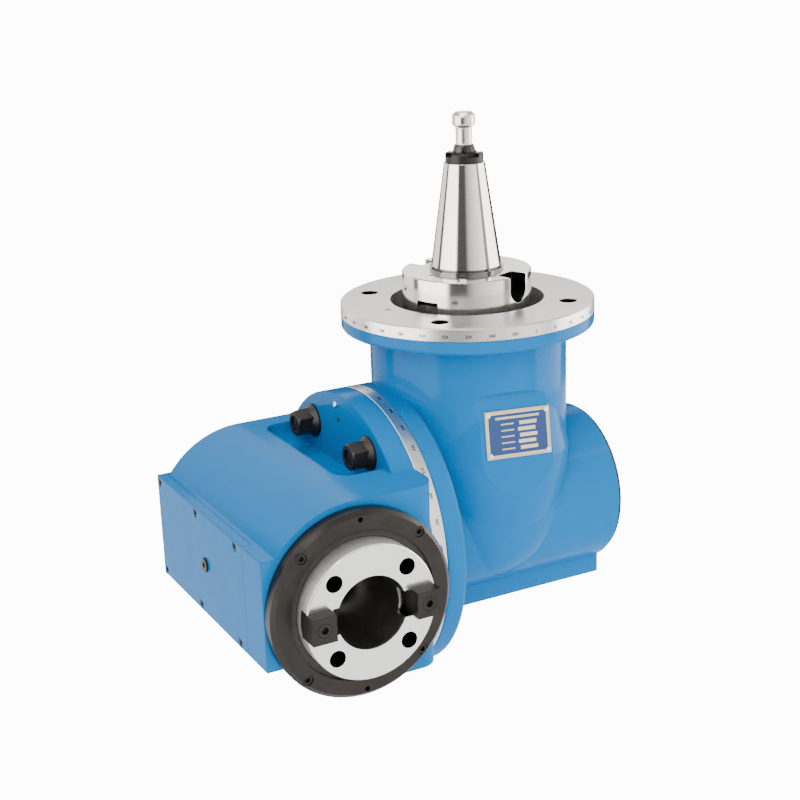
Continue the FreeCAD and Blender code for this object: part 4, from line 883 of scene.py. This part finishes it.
def add_light(name, place, aim, size, power, colour=(1, 1, 1)):
    """A soft rectangular light that looks at a point."""
    data = bpy.data.lights.new(name, "AREA")
    data.shape = "RECTANGLE"
    data.size, data.size_y = size
    data.energy = power
    data.color = colour
    lamp = bpy.data.objects.new(name, data)
    bpy.context.scene.collection.objects.link(lamp)
    lamp.location = place
    lamp.rotation_euler = (Vector(aim) - Vector(place)).to_track_quat("-Z", "Y").to_euler()


def camera_axes(studio, elevation=None):
    """The camera's right, up and backward directions."""
    turn = math.radians(studio.azimuth)
    rise = math.radians(studio.elevation if elevation is None else elevation)
    roll = math.radians(studio.roll)
    back = Vector((math.sin(turn) * math.cos(rise), -math.cos(turn) * math.cos(rise),
                   math.sin(rise)))
    level = Vector((math.cos(turn), math.sin(turn), 0))
    upward = back.cross(level)
    right = level * math.cos(roll) + upward * math.sin(roll)
    up = upward * math.cos(roll) - level * math.sin(roll)
    return right, up, back


class ANGLEHEAD_OT_stage(bpy.types.Operator):
    """Add the floor, the lights and the camera"""

    bl_idname = "anglehead.stage"
    bl_label = "Studio"

    def execute(self, context):
        studio = context.scene.head_studio
        floor = self.add_floor("studio_floor", studio, 0.0005, studio.floor_glow)
        floor.visible_diffuse = False
        floor.visible_glossy = False
        floor.visible_shadow = False
        bounce = self.add_floor("studio_bounce", studio, 0.001, studio.bounce_glow)
        bounce.visible_camera = False
        self.add_wall(studio)
        self.add_world(context)
        self.add_lights()
        self.add_camera(context, studio)
        return {"FINISHED"}

    def add_floor(self, name, studio, drop, glow):
        """A wide pale floor a little below the object."""
        deselect()
        bpy.ops.mesh.primitive_plane_add(size=80, location=(0, 0, CAD_BOX[0][2] - drop))
        floor = bpy.context.object
        floor.name = name
        bpy.ops.object.transform_apply(location=True, rotation=True, scale=True)
        floor.data.materials.append(floor_finish(name + "_pale", studio, glow))
        return floor

    def add_wall(self, studio):
        """A round banded wall that only the reflections see."""
        deselect()
        bpy.ops.mesh.primitive_cylinder_add(
            vertices=96, radius=studio.wall_distance, depth=studio.wall_height,
            end_fill_type="NOTHING",
            location=(0, 0, CAD_BOX[0][2] + studio.wall_height / 2),
        )
        wall = bpy.context.object
        wall.name = "studio_wall"
        bpy.ops.object.transform_apply(location=True, rotation=True, scale=True)
        wall.data.materials.append(wall_finish("studio_wall_bands", studio))
        wall.visible_camera = False
        wall.visible_shadow = False
        wall.visible_diffuse = False

    def add_world(self, context):
        world = bpy.data.worlds.new("studio_world")
        context.scene.world = world
        world.use_nodes = True
        sky = world.node_tree.nodes["Background"]
        sky.inputs["Color"].default_value = (1, 1, 1, 1)
        sky.inputs["Strength"].default_value = 0.85

    def add_lights(self):
        middle = (-0.1, -0.05, -0.12)
        add_light("key_light", (-1.4, -1.5, 1.5), middle, (0.9, 1.3), 38)
        add_light("fill_light", (1.6, -1.2, 0.7), middle, (0.7, 1.6), 16)
        add_light("top_light", (0.0, 0.2, 2.1), middle, (1.6, 1.2), 22)
        add_light("strip_light", (-0.3, -2.0, 0.15), middle, (0.35, 1.6), 9)

    def add_camera(self, context, studio):
        right, up, back = camera_axes(studio)
        sideways = studio.origin_right / studio.focal * studio.distance
        upwards = studio.origin_up / studio.focal * studio.distance
        data = bpy.data.cameras.new("photo_camera")
        data.sensor_width = 36
        data.lens = studio.focal / 800 * data.sensor_width
        camera = bpy.data.objects.new("photo_camera", data)
        context.scene.collection.objects.link(camera)
        turned = Matrix((right, up, back)).transposed()
        place = back * studio.distance - right * sideways - up * upwards
        camera.matrix_world = Matrix.Translation(place) @ turned.to_4x4()
        context.scene.camera = camera


OPERATORS = (
    ANGLEHEAD_OT_castings,
    ANGLEHEAD_OT_rings,
    ANGLEHEAD_OT_input,
    ANGLEHEAD_OT_drive,
    ANGLEHEAD_OT_spindle,
    ANGLEHEAD_OT_small,
    ANGLEHEAD_OT_numbers,
    ANGLEHEAD_OT_nipple,
    ANGLEHEAD_OT_stage,
)


class ANGLEHEAD_PT_panel(bpy.types.Panel):
    """Lists the sizes, the colours and the steps"""

    bl_label = "Angle head"
    bl_space_type = "VIEW_3D"
    bl_region_type = "UI"
    bl_category = "Angle head"

    def draw(self, context):
        scene = context.scene
        for group in (scene.head_finishes, scene.head_marks, scene.head_studio):
            column = self.layout.column(align=True)
            for name in group.__annotations__:
                column.prop(group, name)
        for operator in OPERATORS:
            self.layout.operator(operator.bl_idname)


GROUPS = (
    ("head_finishes", Finishes),
    ("head_marks", Marks),
    ("head_studio", Studio),
)


def register():
    for name, group in GROUPS:
        bpy.utils.register_class(group)
        setattr(bpy.types.Scene, name, PointerProperty(type=group))
    for kind in (*OPERATORS, ANGLEHEAD_PT_panel):
        bpy.utils.register_class(kind)


def unregister():
    for kind in (ANGLEHEAD_PT_panel, *reversed(OPERATORS)):
        bpy.utils.unregister_class(kind)
    for name, group in reversed(GROUPS):
        delattr(bpy.types.Scene, name)
        bpy.utils.unregister_class(group)


def main():
    register()
    bpy.ops.anglehead.castings()
    bpy.ops.anglehead.rings()
    bpy.ops.anglehead.input()
    bpy.ops.anglehead.drive()
    bpy.ops.anglehead.spindle()
    bpy.ops.anglehead.small()
    bpy.ops.anglehead.numbers()
    bpy.ops.anglehead.nipple()
    bpy.ops.anglehead.stage()


if __name__ == "__main__":
    main()
